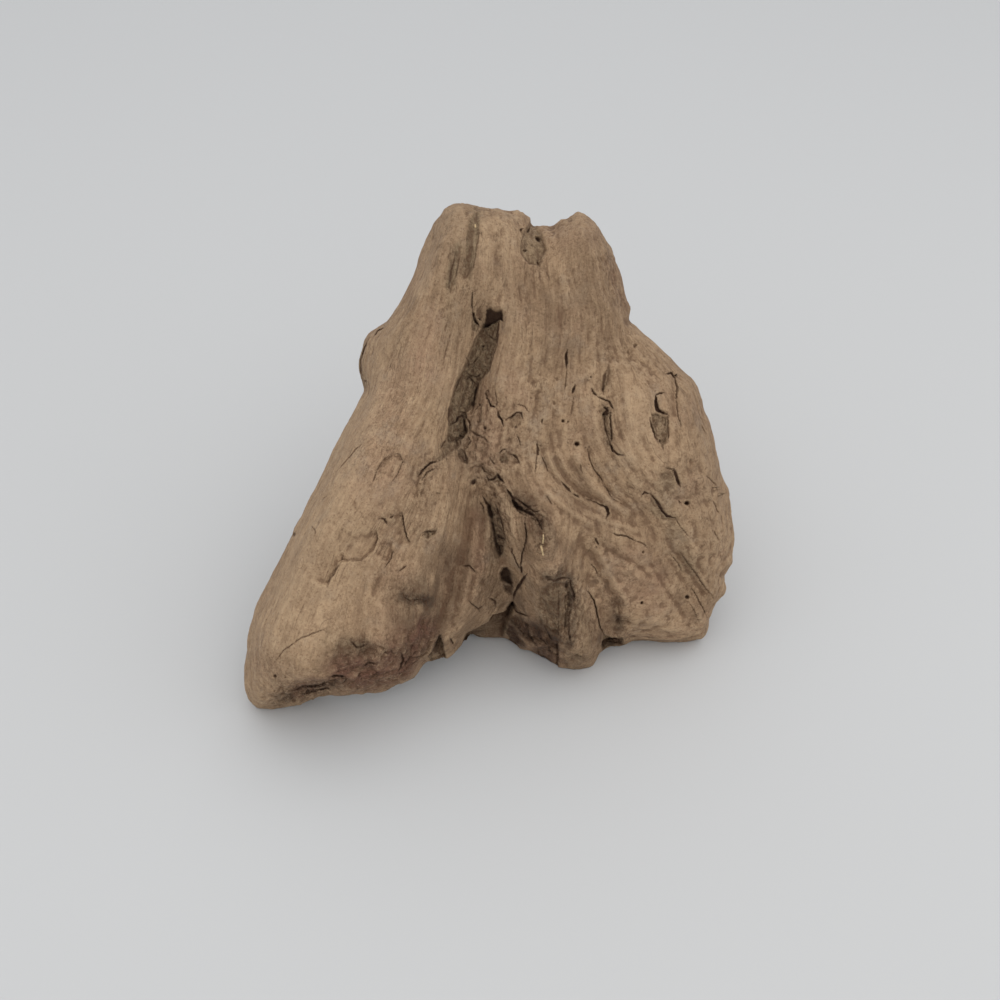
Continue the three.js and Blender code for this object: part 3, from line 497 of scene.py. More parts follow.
# Alcoves: how far out of the face the wood lies there in millimetres (below 0, behind it), and the outline.
ALCOVES = {
    "under the flange's arch": (-50, (
        (460, 652), (465, 634), (476, 628), (488, 622), (492, 615), (504, 611), (512, 600), (516, 604),
        (512, 614), (507, 622), (505, 638), (508, 650), (480, 650))),
    "gap between limb and flange": (-40, (
        (439, 633), (434, 645), (428, 657), (430, 664), (446, 660), (443, 644))),
    "gap between stub and fan": (-58, ((603, 634), (612, 637), (623, 636), (627, 652), (600, 656))),
}

# Rough ground: strength, half-width in pixels, and the path.
ROUGH = (
    (0.9, 14, ((474, 400), (485, 425), (480, 450), (488, 475))),
    (0.7, 16, ((495, 400), (510, 430), (508, 460))),
    (0.5, 12, ((535, 370), (540, 420), (530, 460))),
    (1.3, 14, ((494, 480), (500, 510), (498, 545))),
    (1.3, 11, ((520, 500), (540, 520), (545, 545))),
    (0.5, 14, ((600, 350), (630, 356), (650, 366))),
    (0.5, 10, ((600, 385), (606, 410), (612, 450))),
    (0.8, 12, ((430, 462), (420, 475), (424, 500))),
    (0.5, 12, ((385, 515), (405, 530), (430, 535))),
    (0.8, 14, ((400, 598), (430, 602))),
    (1.6, 18, ((345, 662), (385, 655), (412, 650), (424, 630))),
    (1.4, 11, ((285, 697), (320, 688), (352, 682), (400, 676))),
    (0.7, 14, ((350, 648), (366, 648))),
    (0.6, 12, ((455, 560), (450, 600), (452, 640))),
    (0.7, 12, ((480, 560), (480, 590), (490, 600))),
    (1.5, 8, ((570, 582), (574, 604), (570, 640))),
    (1.0, 14, ((552, 592), (556, 612), (556, 634))),
    (1.1, 9, ((548, 576), (562, 572), (572, 580))),
    (0.9, 12, ((510, 620), (530, 634), (550, 650))),
    (0.6, 12, ((585, 600), (590, 640), (575, 660))),
    (0.8, 12, ((618, 606), (620, 630), (612, 640))),
    (0.35, 14, ((600, 540), (615, 560), (600, 580))),
    (0.9, 7, ((446, 444), (442, 456), (436, 466))),
    (1.0, 12, ((462, 442), (476, 462), (486, 478))),
    (0.6, 8, ((604, 256), (613, 280), (622, 304))),
    (0.4, 10, ((452, 250), (462, 270), (450, 300))),
)

# Strokes of each finish, some of them painted shade: strength, half-width in pixels, and the path.
STAINS_AND_SHADES = {
    "moss": (
        (0.6, 6, ((476, 214), (473, 236), (470, 256), (466, 276))),
        (0.9, 6, ((459, 248), (454, 266), (450, 286))),
        (0.3, 4, ((451, 290), (449, 310), (446, 330))),
        (0.4, 10, ((668, 478), (662, 494), (668, 512), (676, 530))),
        (0.35, 12, ((676, 540), (690, 566))),
        (0.6, 9, ((352, 645), (362, 648))),
        (0.35, 12, ((330, 640), (345, 655))),
        (0.35, 14, ((575, 610), (582, 640), (575, 662))),
        (0.25, 8, ((548, 596), (548, 622))),
        # Painted shade on the ear's left side, which faces away to the left.
        (0.9, 6, ((361, 344), (359, 362), (361, 382))),
        (0.35, 10, ((420, 585), (405, 600))),
    ),
    # A deeper brown along these paths; on the limb's low bulge, the flange and the stub, which face down, it
    # is painted shade.
    "deep_brown_and_shade": (
        (0.5, 5, ((498, 238), (497, 276))),
        (0.75, 26, ((530, 290), (550, 320), (560, 350))),
        (0.7, 24, ((590, 250), (596, 290), (606, 330))),
        (0.4, 22, ((440, 230), (450, 270))),
        (0.35, 16, ((480, 290), (455, 350))),
        (0.35, 14, ((395, 340), (400, 380))),
        (0.4, 20, ((570, 480), (590, 520), (630, 540))),
        (0.5, 26, ((640, 530), (672, 560), (690, 590))),
        (1.0, 16, ((522, 495), (540, 515), (532, 545))),
        (0.6, 16, ((550, 545), (575, 560))),
        (1.0, 18, ((546, 592), (556, 612), (556, 632))),
        (0.7, 16, ((590, 640), (575, 655), (600, 620))),
        (0.6, 12, ((525, 600), (530, 612))),
        (1.0, 26, ((455, 570), (440, 605), (415, 635), (400, 600))),
        (0.35, 24, ((340, 668), (380, 662), (410, 645))),
        (0.8, 18, ((480, 585), (470, 610), (460, 645))),
        (0.7, 14, ((475, 520), (470, 560), (455, 580))),
        (0.6, 14, ((360, 640), (340, 655), (325, 668))),
        (0.55, 4.5, ((440, 256), (438, 276), (434, 298))),
        (0.45, 5, ((414, 300), (404, 330), (396, 352))),
        (0.4, 6, ((516, 268), (518, 310), (514, 350))),
        (0.35, 26, ((676, 380), (700, 450), (716, 520))),
    ),
    # Painted shade under overhangs and in undercuts, gaps, seams and soft folds.
    "painted_shade": (
        (0.35, 8, ((478, 498), (484, 520), (492, 545), (497, 580), (500, 600))),
        (0.35, 13, ((498, 566), (500, 590), (506, 604))),
        (0.45, 12, ((516, 586), (514, 604), (520, 616))),
        (0.75, 6, ((547, 576), (560, 572), (572, 580))),
        (0.75, 5, ((570, 582), (573, 600), (570, 626), (570, 644))),
        (0.4, 12, ((556, 590), (562, 620))),
        (1.0, 13, ((514, 626), (532, 632), (548, 638), (553, 644))),
        (0.8, 4.5, ((556, 580), (566, 583), (571, 592), (573, 606), (571, 622), (572, 638))),
        (0.35, 11, ((520, 500), (532, 512), (542, 524), (548, 538))),
        (0.3, 8, ((484, 494), (490, 512), (495, 530), (501, 548))),
        (0.2, 7, ((605, 408), (607, 422), (609, 440))),
        (0.35, 12, ((452, 448), (462, 458), (474, 470))),
        (0.8, 9, ((541, 652), (550, 660))),
        (0.6, 8, ((617, 606), (619, 628))),
        (0.9, 8, ((404, 597), (418, 599), (430, 601))),
        (0.35, 26, ((440, 560), (432, 592), (420, 616))),
        (0.5, 11, ((346, 647), (364, 649))),
        (0.6, 7, ((280, 699), (298, 690), (322, 685), (340, 681))),
        (0.4, 9, ((402, 656), (410, 668), (420, 654))),
        (0.4, 16, ((436, 585), (426, 604), (415, 625))),
        (0.15, 20, ((352, 655), (380, 662), (404, 660))),
        (0.9, 6, ((440, 640), (438, 658))),
        (0.7, 8, ((604, 640), (618, 644))),
        (0.9, 7, ((505, 626), (514, 634), (520, 645))),
        (0.6, 9, ((508, 575), (512, 590))),
        (0.35, 6, ((465, 548), (454, 565), (447, 588), (440, 611), (438, 633))),
        (0.12, 6, ((610, 258), (619, 286), (624, 302))),
    ),
    "pale": (
        (0.5, 10, ((503, 506), (512, 530), (514, 552))),
        (0.7, 6, ((430, 240), (426, 266), (420, 292))),
        (0.6, 5, ((462, 222), (459, 244))),
        (0.4, 12, ((452, 210), (442, 232))),
        (0.5, 5, ((486, 226), (483, 260))),
        (0.6, 5.5, ((509, 230), (506, 264), (504, 290))),
        (0.45, 24, ((352, 500), (332, 560), (308, 630))),
        (0.5, 14, ((400, 340), (385, 372), (372, 400))),
        (0.6, 18, ((370, 400), (345, 450), (318, 520), (290, 590), (270, 640))),
        (0.35, 16, ((360, 540), (340, 590), (310, 630))),
        (0.6, 12, ((634, 400), (640, 430), (630, 452))),
        (0.5, 8, ((508, 300), (503, 340), (494, 372))),
        (0.5, 12, ((468, 300), (455, 350), (440, 400))),
        (0.4, 12, ((700, 440), (712, 490), (722, 540))),
        (0.4, 8, ((556, 470), (574, 500), (600, 520))),
    ),
    "rust": (
        (0.9, 13, ((404, 664), (414, 646), (424, 630))),
        (1.0, 19, ((345, 672), (375, 674), (404, 664))),
        (0.6, 10, ((300, 690), (340, 679), (380, 672))),
        (0.5, 16, ((380, 655), (400, 640))),
        (0.3, 7, ((610, 260), (619, 288), (624, 304))),
        (0.35, 16, ((635, 560), (655, 575), (645, 596))),
        (0.35, 7, ((476, 515), (477, 545), (480, 565))),
        (0.6, 12, ((528, 634), (545, 650), (553, 660))),
    ),
    "clay": (
        (0.7, 16, ((430, 320), (420, 360), (440, 380))),
        (0.6, 14, ((500, 350), (510, 390), (520, 400))),
        (0.7, 18, ((480, 390), (490, 430), (480, 455))),
        (0.5, 16, ((400, 480), (380, 500), (360, 490))),
        (0.5, 18, ((660, 600), (640, 590))),
        (0.5, 12, ((535, 225), (560, 240), (590, 232))),
    ),
}

# Torn bright fibres, by their paths.
SPLINTERS = (
    ((543.4, 535), (542.8, 543)),
    ((541, 546), (542, 550), (543, 555)),
    ((475, 224), (475.4, 226)),
)

# Shoves: a place on the outline, how far the shove reaches in pixels, and how far it goes, right and down.
SHOVES = {
    "notch, left wall": ((533, 219), 6, (1.0, -4.0)),
    "notch, bottom": ((543, 231), 9, (0, -6.6)),
    "notch, right slope": ((560, 226), 8, (0, -5.6)),
    "crest left of the notch": ((522, 213), 10, (2.0, -3.4)),
    "crest, middle": ((500, 211), 11, (0, -2.4)),
    "crest, left": ((480, 206), 9, (0, -2.2)),
    "right peak": ((578, 212), 9, (0, -4.4)),
    "right peak's shoulder": ((600, 226), 9, (1.6, -1.2)),
    "right peak's side": ((614, 250), 14, (2.4, 0)),
    "shoulder's corner": ((627, 306), 10, (2.6, 1.0)),
    "corner below the shoulder": ((631, 319), 7, (-2.6, 1.5)),
    "left peak": ((462, 204), 10, (0, -1.8)),
    "left peak's left side": ((438, 216), 7, (2.2, 0.5)),
    "ear": ((361, 362), 14, (-3.2, 0)),
    "ear's top": ((367, 338), 8, (-1.6, -0.6)),
    "below the ear": ((362, 390), 9, (3.4, 0)),
    "fan's top corner": ((690, 377), 12, (1.4, -1.0)),
    "fan's upper edge": ((708, 408), 14, (-2.4, 0)),
    "fan's middle edge": ((726, 492), 16, (2.6, 0)),
    "fan's widest edge": ((733, 545), 14, (1.4, 0)),
    "fan's bump below it": ((730, 562), 6, (2.4, 0)),
    "fan's nick": ((724, 575), 4, (-2.2, 0)),
    "fan's lower edge": ((724, 590), 8, (2.0, 0)),
    "fan's edge above the toe": ((718, 608), 9, (-1.8, 0)),
    "fan's toe": ((706, 634), 8, (1.8, 2.0)),
    "fan's lobe beside the stub": ((622, 643), 9, (0, 4.0)),
    "limb's toe": ((256, 704), 10, (-0.6, 3.2)),
    "limb's lower edge": ((326, 697), 13, (0, -3.0)),
    "limb's lower edge, right": ((426, 673), 11, (-1.0, -9.5)),
    "limb's lower edge, middle": ((404, 686), 12, (0, -3.5)),
    "flange's tip": ((448, 656), 7, (0, 1.0)),
    "inner foot": ((464, 645), 8, (0, -2.0)),
    "foot in the arch": ((506, 642), 8, (0, -2.0)),
    "stub's base, left": ((530, 652), 8, (0, -1.5)),
    "stub's base, middle": ((554, 664), 10, (-1.0, 6.0)),
    "stub's base, right": ((592, 662), 8, (1.5, 3.0)),
}


# ---- places and distances


def out_to_world(across, up, out):
    """Places on the face, in millimetres, as places in the part's frame."""
    return FACE_MIDDLE + across[:, None] * ACROSS_FACE + up[:, None] * UP_FACE + out[:, None] * OUT_OF_FACE


def face_places(world):
    """Across, up and out of the face, from places in the part's frame, in millimetres."""
    from_middle = world - FACE_MIDDLE
    return from_middle[:, 0], from_middle @ UP_FACE, from_middle @ OUT_OF_FACE


def photo_places(world):
    """Where the camera sees each place, in pixels."""
    across, up, out = face_places(world)
    scale = FOCAL_PIXELS / (CAMERA_AWAY - out)
    return np.stack((PHOTO / 2 + across * scale, PHOTO / 2 - up * scale), axis=1)


def smoothstep(value, low, high):
    """0 below low and 1 above high, with a soft start and end."""
    share = np.clip((value - low) / (high - low), 0, 1)
    return share * share * (3 - 2 * share)


def bell(offset, width):
    """1 where the offset is 0, falling softly to either side."""
    return np.exp(-((offset / width) ** 2))


def to_path(places, path):
    """For each place: its distance to a path, the same but below 0 to its left, and the share along it."""
    path = np.asarray(path, float)
    lengths = np.linalg.norm(np.diff(path, axis=0), axis=1)
    starts = np.concatenate(((0,), np.cumsum(lengths)[:-1]))
    nearest = np.full(len(places), np.inf)
    signed = np.zeros(len(places))
    share = np.zeros(len(places))
    for start, end, length, begun in zip(path[:-1], path[1:], lengths, starts):
        along = (end - start) / length
        offset = places - start
        run = np.clip(offset @ along, 0, length)
        gap = offset - run[:, None] * along
        distance = np.hypot(gap[:, 0], gap[:, 1])
        side = np.sign(along[0] * offset[:, 1] - along[1] * offset[:, 0])
        closer = distance < nearest
        nearest = np.where(closer, distance, nearest)
        signed = np.where(closer, side * distance, signed)
        share = np.where(closer, (begun + run) / lengths.sum(), share)
    return nearest, signed, share


def near_path(places, path, reach):
    """Which places lie in a path's box, grown by reach."""
    path = np.asarray(path, float)
    return np.all((places > path.min(0) - reach) & (places < path.max(0) + reach), axis=1)


def beside(places, path, reach):
    """Which places are near a path, and for those what to_path tells."""
    close = near_path(places, path, reach)
    return close, *to_path(places[close], path)


def inside_outline(places, outline):
    """The distance inside a closed outline, below 0 outside it."""
    outline = np.asarray(outline, float)
    inside = np.zeros(len(places), bool)
    for a, b in zip(outline, np.roll(outline, -1, axis=0)):
        crosses = (a[1] > places[:, 1]) != (b[1] > places[:, 1])
        height = np.where(b[1] == a[1], TINY, b[1] - a[1])
        inside ^= crosses & (places[:, 0] < (b[0] - a[0]) * (places[:, 1] - a[1]) / height + a[0])
    distance = to_path(places, np.vstack((outline, outline[:1])))[0]
    return np.where(inside, distance, -distance)


# ---- noise


def corner_slope(cells):
    """A repeatable direction for each corner of a lattice."""
    mixed = (cells[..., 0] * 73856093) ^ (cells[..., 1] * 19349663) ^ (cells[..., 2] * 83492791)
    mixed = (mixed ^ (mixed >> 13)) * 1274126177
    parts = [((mixed >> shift) & 1023) / 511.5 - 1 for shift in (3, 13, 23)]
    return np.stack(parts, axis=-1)


def noise(places):
    """Smooth noise from about -1 to 1."""
    cells = np.floor(places).astype(np.int64)
    within = places - cells
    fade = within**3 * (within * (within * 6 - 15) + 10)
    total = np.zeros(len(places))
    for corner in np.ndindex(2, 2, 2):
        slope = corner_slope(cells + corner)
        weight = np.prod(np.where(corner, fade, 1 - fade), axis=1)
        total += weight * np.sum(slope * (within - corner), axis=1)
    return NOISE_GAIN * total


def waves(places, lengths, start=0.0, layers=1):
    """Noise with waves of the given lengths. Each further layer's are half as long and half as high."""
    at = places / np.array(lengths) + start
    return sum(noise(at * 2**layer + LAYER_SHIFT * layer) / 2**layer for layer in range(layers))


def stepped(height, flat):
    """The same height in steps, each flat for the given share of its width."""
    floor = np.floor(height)
    return floor + smoothstep(height - floor, flat, 1.0)


# ---- the grain


def thin_plate(distance):
    """How far a thin plate bends at a distance from a stop."""
    return np.where(distance > 0, distance**2 * np.log(np.maximum(distance, TINY)), 0)


def grain_across(places):
    """How far across the grain each place lies: a thin plate bent through the grain lines."""
    stops = np.array([stop for _, line in GRAIN_LINES for stop in line]) / PLATE_UNIT
    values = np.array([value for value, line in GRAIN_LINES for _ in line], float)
    spread = np.linalg.norm(stops[:, None] - stops[None], axis=2)
    flat = np.hstack((np.ones((len(stops), 1)), stops))
    bending = thin_plate(spread) + PLATE_SLACK * np.eye(len(stops))
    system = np.block([[bending, flat], [flat.T, np.zeros((3, 3))]])
    bend = np.linalg.solve(system, np.concatenate((values, np.zeros(3))))
    result = np.empty(len(places))
    for begin in range(0, len(places), BATCH):
        part = places[begin : begin + BATCH] / PLATE_UNIT
        reach = thin_plate(np.linalg.norm(part[:, None] - stops[None], axis=2))
        result[begin : begin + BATCH] = reach @ bend[:-3] + bend[-3] + part @ bend[-2:]
    return result


def grain_places(world):
    """Across the grain, out of the face, and along the grain, in millimetres, gently bent."""
    seen = photo_places(world)
    _, _, out = face_places(world)
    across = grain_across(seen)
    along = np.hypot(*(seen - GRAIN_TOP).T) * PIXEL
    bend = 1.6 * waves(np.column_stack((across, out, along)), (22, 22, 30))
    return np.column_stack((across + bend, out + 0.6 * bend, along))


def back_grain_places(world):
    """The same for the back, where the grain runs down and outwards from a place above the neck."""
    down = world - BACK_GRAIN_TOP
    along = np.linalg.norm(down, axis=1)
    spread = BACK_GRAIN_SPREAD * down[:, :2] / along[:, None]
    bend = 2.2 * waves(np.column_stack((spread, along)), (25, 25, 45))
    return np.column_stack((spread + bend[:, None], along))


# ---- which way the skin faces


def facing_out(normals):
    """1 square to the camera, 0 on the sides and -1 on the back."""
    return normals @ OUT_OF_FACE


def behind(normals):
    """1 on the back, which has its own grain, and 0 on the face and the sides."""
    return smoothstep(-facing_out(normals), 0.12, 0.42)


# ---- the mesh


def refine(bm, wanted, most_passes=6):
    """Splits every edge longer than the length wanted at its place, again and again."""
    for _ in range(most_passes):
        places = np.array([vertex.co for vertex in bm.verts]) / MM
        bm.normal_update()
        normals = np.array([vertex.normal for vertex in bm.verts])
        lengths = wanted(places, normals)
        bm.verts.index_update()
        ends = np.array([(edge.verts[0].index, edge.verts[1].index) for edge in bm.edges])
        real = np.linalg.norm(places[ends[:, 0]] - places[ends[:, 1]], axis=1)
        long = real > LONG * np.minimum(lengths[ends[:, 0]], lengths[ends[:, 1]])
        if not long.any():
            return
        bm.edges.ensure_lookup_table()
        chosen = [bm.edges[i] for i in np.flatnonzero(long)]
        bmesh.ops.subdivide_edges(bm, edges=chosen, cuts=1)
        open_faces = [face for face in bm.faces if len(face.verts) > 3]
        bmesh.ops.triangulate(bm, faces=open_faces, quad_method="SHORT_EDGE", ngon_method="BEAUTY")


def soften(bm, times):
    """Rounds the facets off and leaves the soles flat on the ground."""
    free = [vertex for vertex in bm.verts if vertex.co.z > SOLE_HEIGHT * MM]
    for _ in range(times):
        bmesh.ops.smooth_vert(bm, verts=free, factor=0.5, use_axis_x=True, use_axis_y=True, use_axis_z=True)


def even_lengths(places, normals):
    """The same edge length everywhere."""
    return np.full(len(places), FIRST_EDGE)


def fine_lengths(fineness):
    """The edge length that each place needs, in millimetres: short at splits and pits, long at the back."""

    def lengths(places, normals):
        seen = photo_places(places)
        facing = facing_out(normals)
        wanted = np.where(facing > SIDE_BEGINS, SIDE_EDGE, BACK_EDGE)
        wanted = np.where(facing > FACE_BEGINS, FACE_EDGE, wanted)
        front = facing > SEEN_BEGINS
        rough_front = front & (roughness_here(seen) > MUCH_ROUGH)
        wanted[rough_front] = np.minimum(wanted[rough_front], ROUGH_EDGE)
        for half_width, _, _, path in SPLITS.values():
            close = front & near_path(seen, path, reach=8)
            distance = to_path(seen[close], path)[0] * PIXEL
            wanted[close] = np.where(distance < half_width + 0.6, SPLIT_EDGE, wanted[close])
        for centre, size, _, _, _ in PITS.values():
            far = np.linalg.norm((seen - centre) / size, axis=1)
            wanted = np.where(front & (far < 1 + 2.5 / max(size)), SPLIT_EDGE, wanted)
        for _, _, _, _, rough, outline in PATCHES.values():
            close = front & near_path(seen, outline, reach=8)
            within = inside_outline(seen[close], outline)
            floor = np.where((within > 0) & (rough > MUCH_ROUGH), RUBBLE_EDGE, BACK_EDGE)
            wanted[close] = np.minimum(wanted[close], np.where(np.abs(within) < 2, RIM_EDGE, floor))
        for path in SPLINTERS:
            wanted[front & near_path(seen, path, reach=3)] = SPLINTER_EDGE
        for _, outline in ALCOVES.values():
            close = front & near_path(seen, outline, reach=10)
            within = inside_outline(seen[close], outline)
            wanted[close] = np.where(within > -4, ALCOVE_EDGE, wanted[close])
        return wanted / fineness

    return lengths


def read(mesh, name):
    """Every vertex's place or normal."""
    values = np.empty(3 * len(mesh.vertices))
    mesh.vertices.foreach_get(name, values)
    return values.reshape(-1, 3)


def move_to(mesh, places):
    """Puts the vertices at new places, given in millimetres, and tells the new normals."""
    mesh.vertices.foreach_set("co", (places * MM).ravel())
    mesh.update()
    return read(mesh, "normal")


def write(mesh, name, kind, field, values):
    """Keeps a value for each vertex as an attribute that the finish reads."""
    layer = mesh.attributes.new(name, kind, "POINT")
    layer.data.foreach_set(field, values.astype(np.float32).ravel())


def mesh_from(bm, name):
    """A mesh made from a bmesh, which is then let go."""
    mesh = bpy.data.meshes.new(name)
    bm.to_mesh(mesh)
    bm.free()
    return mesh


# ---- carving the worn face


def torn_places(seen):
    """The same places in pixels, shifted here and there, so that what is drawn with them has torn edges."""
    at = np.column_stack((seen, np.zeros(len(seen))))
    shifts = [0.9 * waves(at, 9, start) + 0.6 * waves(at, 3.4, start) for start in (3.1, 41.7)]
    return seen + np.column_stack(shifts)


def taper(share):
    """Narrow at both ends of a split."""
    return np.clip(np.minimum(share, 1 - share) / 0.22, 0.22, 1) ** 0.7


def strongest(finish, name, where, strength):
    """Raises a finish to the given strength where it is weaker."""
    finish[name][where] = np.maximum(finish[name][where], strength)


def roughness_here(seen):
    """How rough the ground is at each place that the camera sees."""
    rough = np.zeros(len(seen))
    for strength, half_width, path in ROUGH:
        close, distance, _, _ = beside(seen, path, reach=2.5 * half_width)
        rough[close] = np.maximum(rough[close], strength * bell(distance, half_width))
    return rough


def dig_folds(seen, sunk):
    """Sinks the grooves and raises the swells."""
    for half_width, depth, path in FOLDS.values():
        close, distance, _, _ = beside(seen, path, reach=16)
        sunk[close] += depth * bell(distance * PIXEL, half_width)


def lift_flakes(seen, sunk):
    """Takes the wood away to the right of each flake's edge."""
    for drop, reach, path in FLAKES.values():
        close, distance, signed, share = beside(seen, path, reach=60)
        ends = smoothstep(np.minimum(share, 1 - share), 0, 0.12)
        gone = smoothstep(signed * PIXEL, -0.1, 0.6) * bell(distance * PIXEL, reach)
        sunk[close] += drop * gone * ends


def sink_patches(seen, places, sunk, finish):
    """Sinks each patch to a rough floor with painted shade, as dark as the patch is given and darker in its
    cracks.
    """
    for depth, edge, dark, moss, rough, outline in PATCHES.values():
        close = near_path(seen, outline, reach=8)
        within = smoothstep(inside_outline(seen[close], outline) * PIXEL, -0.35 * edge, edge)
        rubble = waves(places[close], (1.7, 2.4, 2.4), 4.4, layers=3)
        sunk[close] += within * (depth + 1.1 * rough * rubble)
        cracks = rough * smoothstep(-rubble, 0.30, 0.65)
        # Painted shade over the patch's floor, darker in its cracks.
        strongest(finish, "hollow", close, within * np.clip(dark + 0.55 * cracks, 0, 1))
        strongest(finish, "moss", close, within * moss)
        strongest(finish, "crumb", close, within * rough)


def bore_pits(seen, sunk, finish):
    """Sinks each pit, raises a low lip round it and paints shade in it."""
    for centre, size, turn, depth, dark in PITS.values():
        close = np.linalg.norm(seen - centre, axis=1) < 2.4 * max(size)
        sine, cosine = math.sin(math.radians(turn)), math.cos(math.radians(turn))
        right, down = (seen[close] - centre).T
        far = np.hypot((right * cosine + down * sine) / size[0], (down * cosine - right * sine) / size[1])
        hole = 1 - smoothstep(far, 0.3, 1.05)
        sunk[close] += depth * hole - 0.05 * depth * bell(far - 1.35, 0.25)
        # Painted shade inside the pit.
        strongest(finish, "hollow", close, dark * hole)


def open_splits(seen, split_depth, sunk, finish):
    """Cuts the splits, lets the wood on one side of each sink, paints shade inside the wider ones, and notes
    where the nearest one runs.
    """
    at = np.column_stack((seen, np.zeros(len(seen))))
    swelling = 0.85 * (1 + 0.5 * waves(at, 7, 8.8))
    leaning = waves(at, 26, 30.3)
    line = {name: np.full(len(seen), SPLIT_REACH) for name in SPLIT_LINE[:2]}
    line.update({name: np.zeros(len(seen)) for name in SPLIT_LINE[2:]})
    for half_width, depth, dark, path in SPLITS.values():
        close, distance, signed, share = beside(seen, path, reach=12)
        off, signed = distance * PIXEL, signed * PIXEL
        ends = taper(share)
        wide = half_width * ends * swelling[close]
        far = off / wide
        split = np.clip(1 - far**2, 0, 1) ** 0.6
        gone = np.exp(-np.abs(signed) / 1.3) * smoothstep(signed * np.sign(leaning[close]), -0.1, 0.5)
        gone = 0.28 * gone * np.abs(leaning[close])
        sunk[close] += split_depth * depth * ends * (split - 0.05 * bell(far - 1.7, 0.5) + gone)
        faded = np.clip(ends + 0.2, 0, 1)
        # Painted shade inside the wider splits.
        shade = 0.7 * dark * np.clip((half_width - 0.45) / 0.4, 0, 1)
        strongest(finish, "hollow", close, shade * np.clip(1.2 - far, 0, 1) * faded)
        nearer = off < line["split_off"][close]
        spots = np.flatnonzero(close)[nearer]
        for name, value in zip(SPLIT_LINE, (signed, off, 0.8 * wide, dark * faded)):
            line[name][spots] = value[nearer]
    finish.update(line)


def carve(places, normals, split_depth):
    """Moves the skin of the worn face and gives each finish its strength."""
    finish = {name: np.zeros(len(places)) for name in FINISHES}
    seen = photo_places(places)
    torn = torn_places(seen)
    finish["crumb"] = roughness_here(seen)
    grain = grain_places(places)
    facing = facing_out(normals)
    front = smoothstep(facing, -0.2, 0.1)
    seen_side = smoothstep(facing, -0.5, -0.15)
    sunk = np.zeros(len(places))
    dig_folds(seen, sunk)
    lift_flakes(torn, sunk)
    sink_patches(torn, places, sunk, finish)
    bore_pits(0.4 * torn + 0.6 * seen, sunk, finish)
    open_splits(0.7 * torn + 0.3 * seen, split_depth, sunk, finish)

    across, up, out = face_places(places)
    out = out - front * sunk
    for name in (*FINISHES, "split_dark"):
        finish[name] *= seen_side if name == "moss" else front

    for back, outline in ALCOVES.values():
        close = near_path(torn, outline, reach=6) & (facing > -0.3)
        within = smoothstep(inside_outline(torn[close], outline), 0.2, 3.0)
        floor = (ALCOVE_FLOOR - FACE_MIDDLE[2] - up[close] * UP_FACE[2]) / OUT_OF_FACE[2]
        far_back = np.maximum(back, floor)
        out[close] = np.minimum(out[close], out[close] + within * (far_back - out[close]))
        # Painted shade deep in each alcove.
        strongest(finish, "painted_shade", close, 0.55 * within)

    # Strokes of each finish; some of them are painted shade.
    for name, stains_and_shades in STAINS_AND_SHADES.items():
        for strength, half_width, path in stains_and_shades:
            close, distance, _, _ = beside(seen, path, reach=2.5 * half_width)
            patchy = 0.85 + 0.6 * waves(grain[close], (4, 4, 12), layers=3)
            stain_and_shade = strength * np.exp(-((distance / half_width) ** 3)) * np.clip(patchy, 0, 1.2)
            strongest(finish, name, close, stain_and_shade * seen_side[close])

    for path in SPLINTERS:
        close, distance, _, _ = beside(seen, path, reach=6)
        raised = bell(distance * PIXEL, SPLINTER_HALF_WIDTH)
        out[close] += SPLINTER_HEIGHT * raised
        strongest(finish, "splinter", close, raised)

    for centre, reach, (right, down) in SHOVES.values():
        pull = np.exp(-np.sum((seen - centre) ** 2, axis=1) / reach**2)
        across += pull * right * PIXEL
        up -= pull * down * PIXEL
    return out_to_world(across, up, out), finish


# ---- roughening all the wood


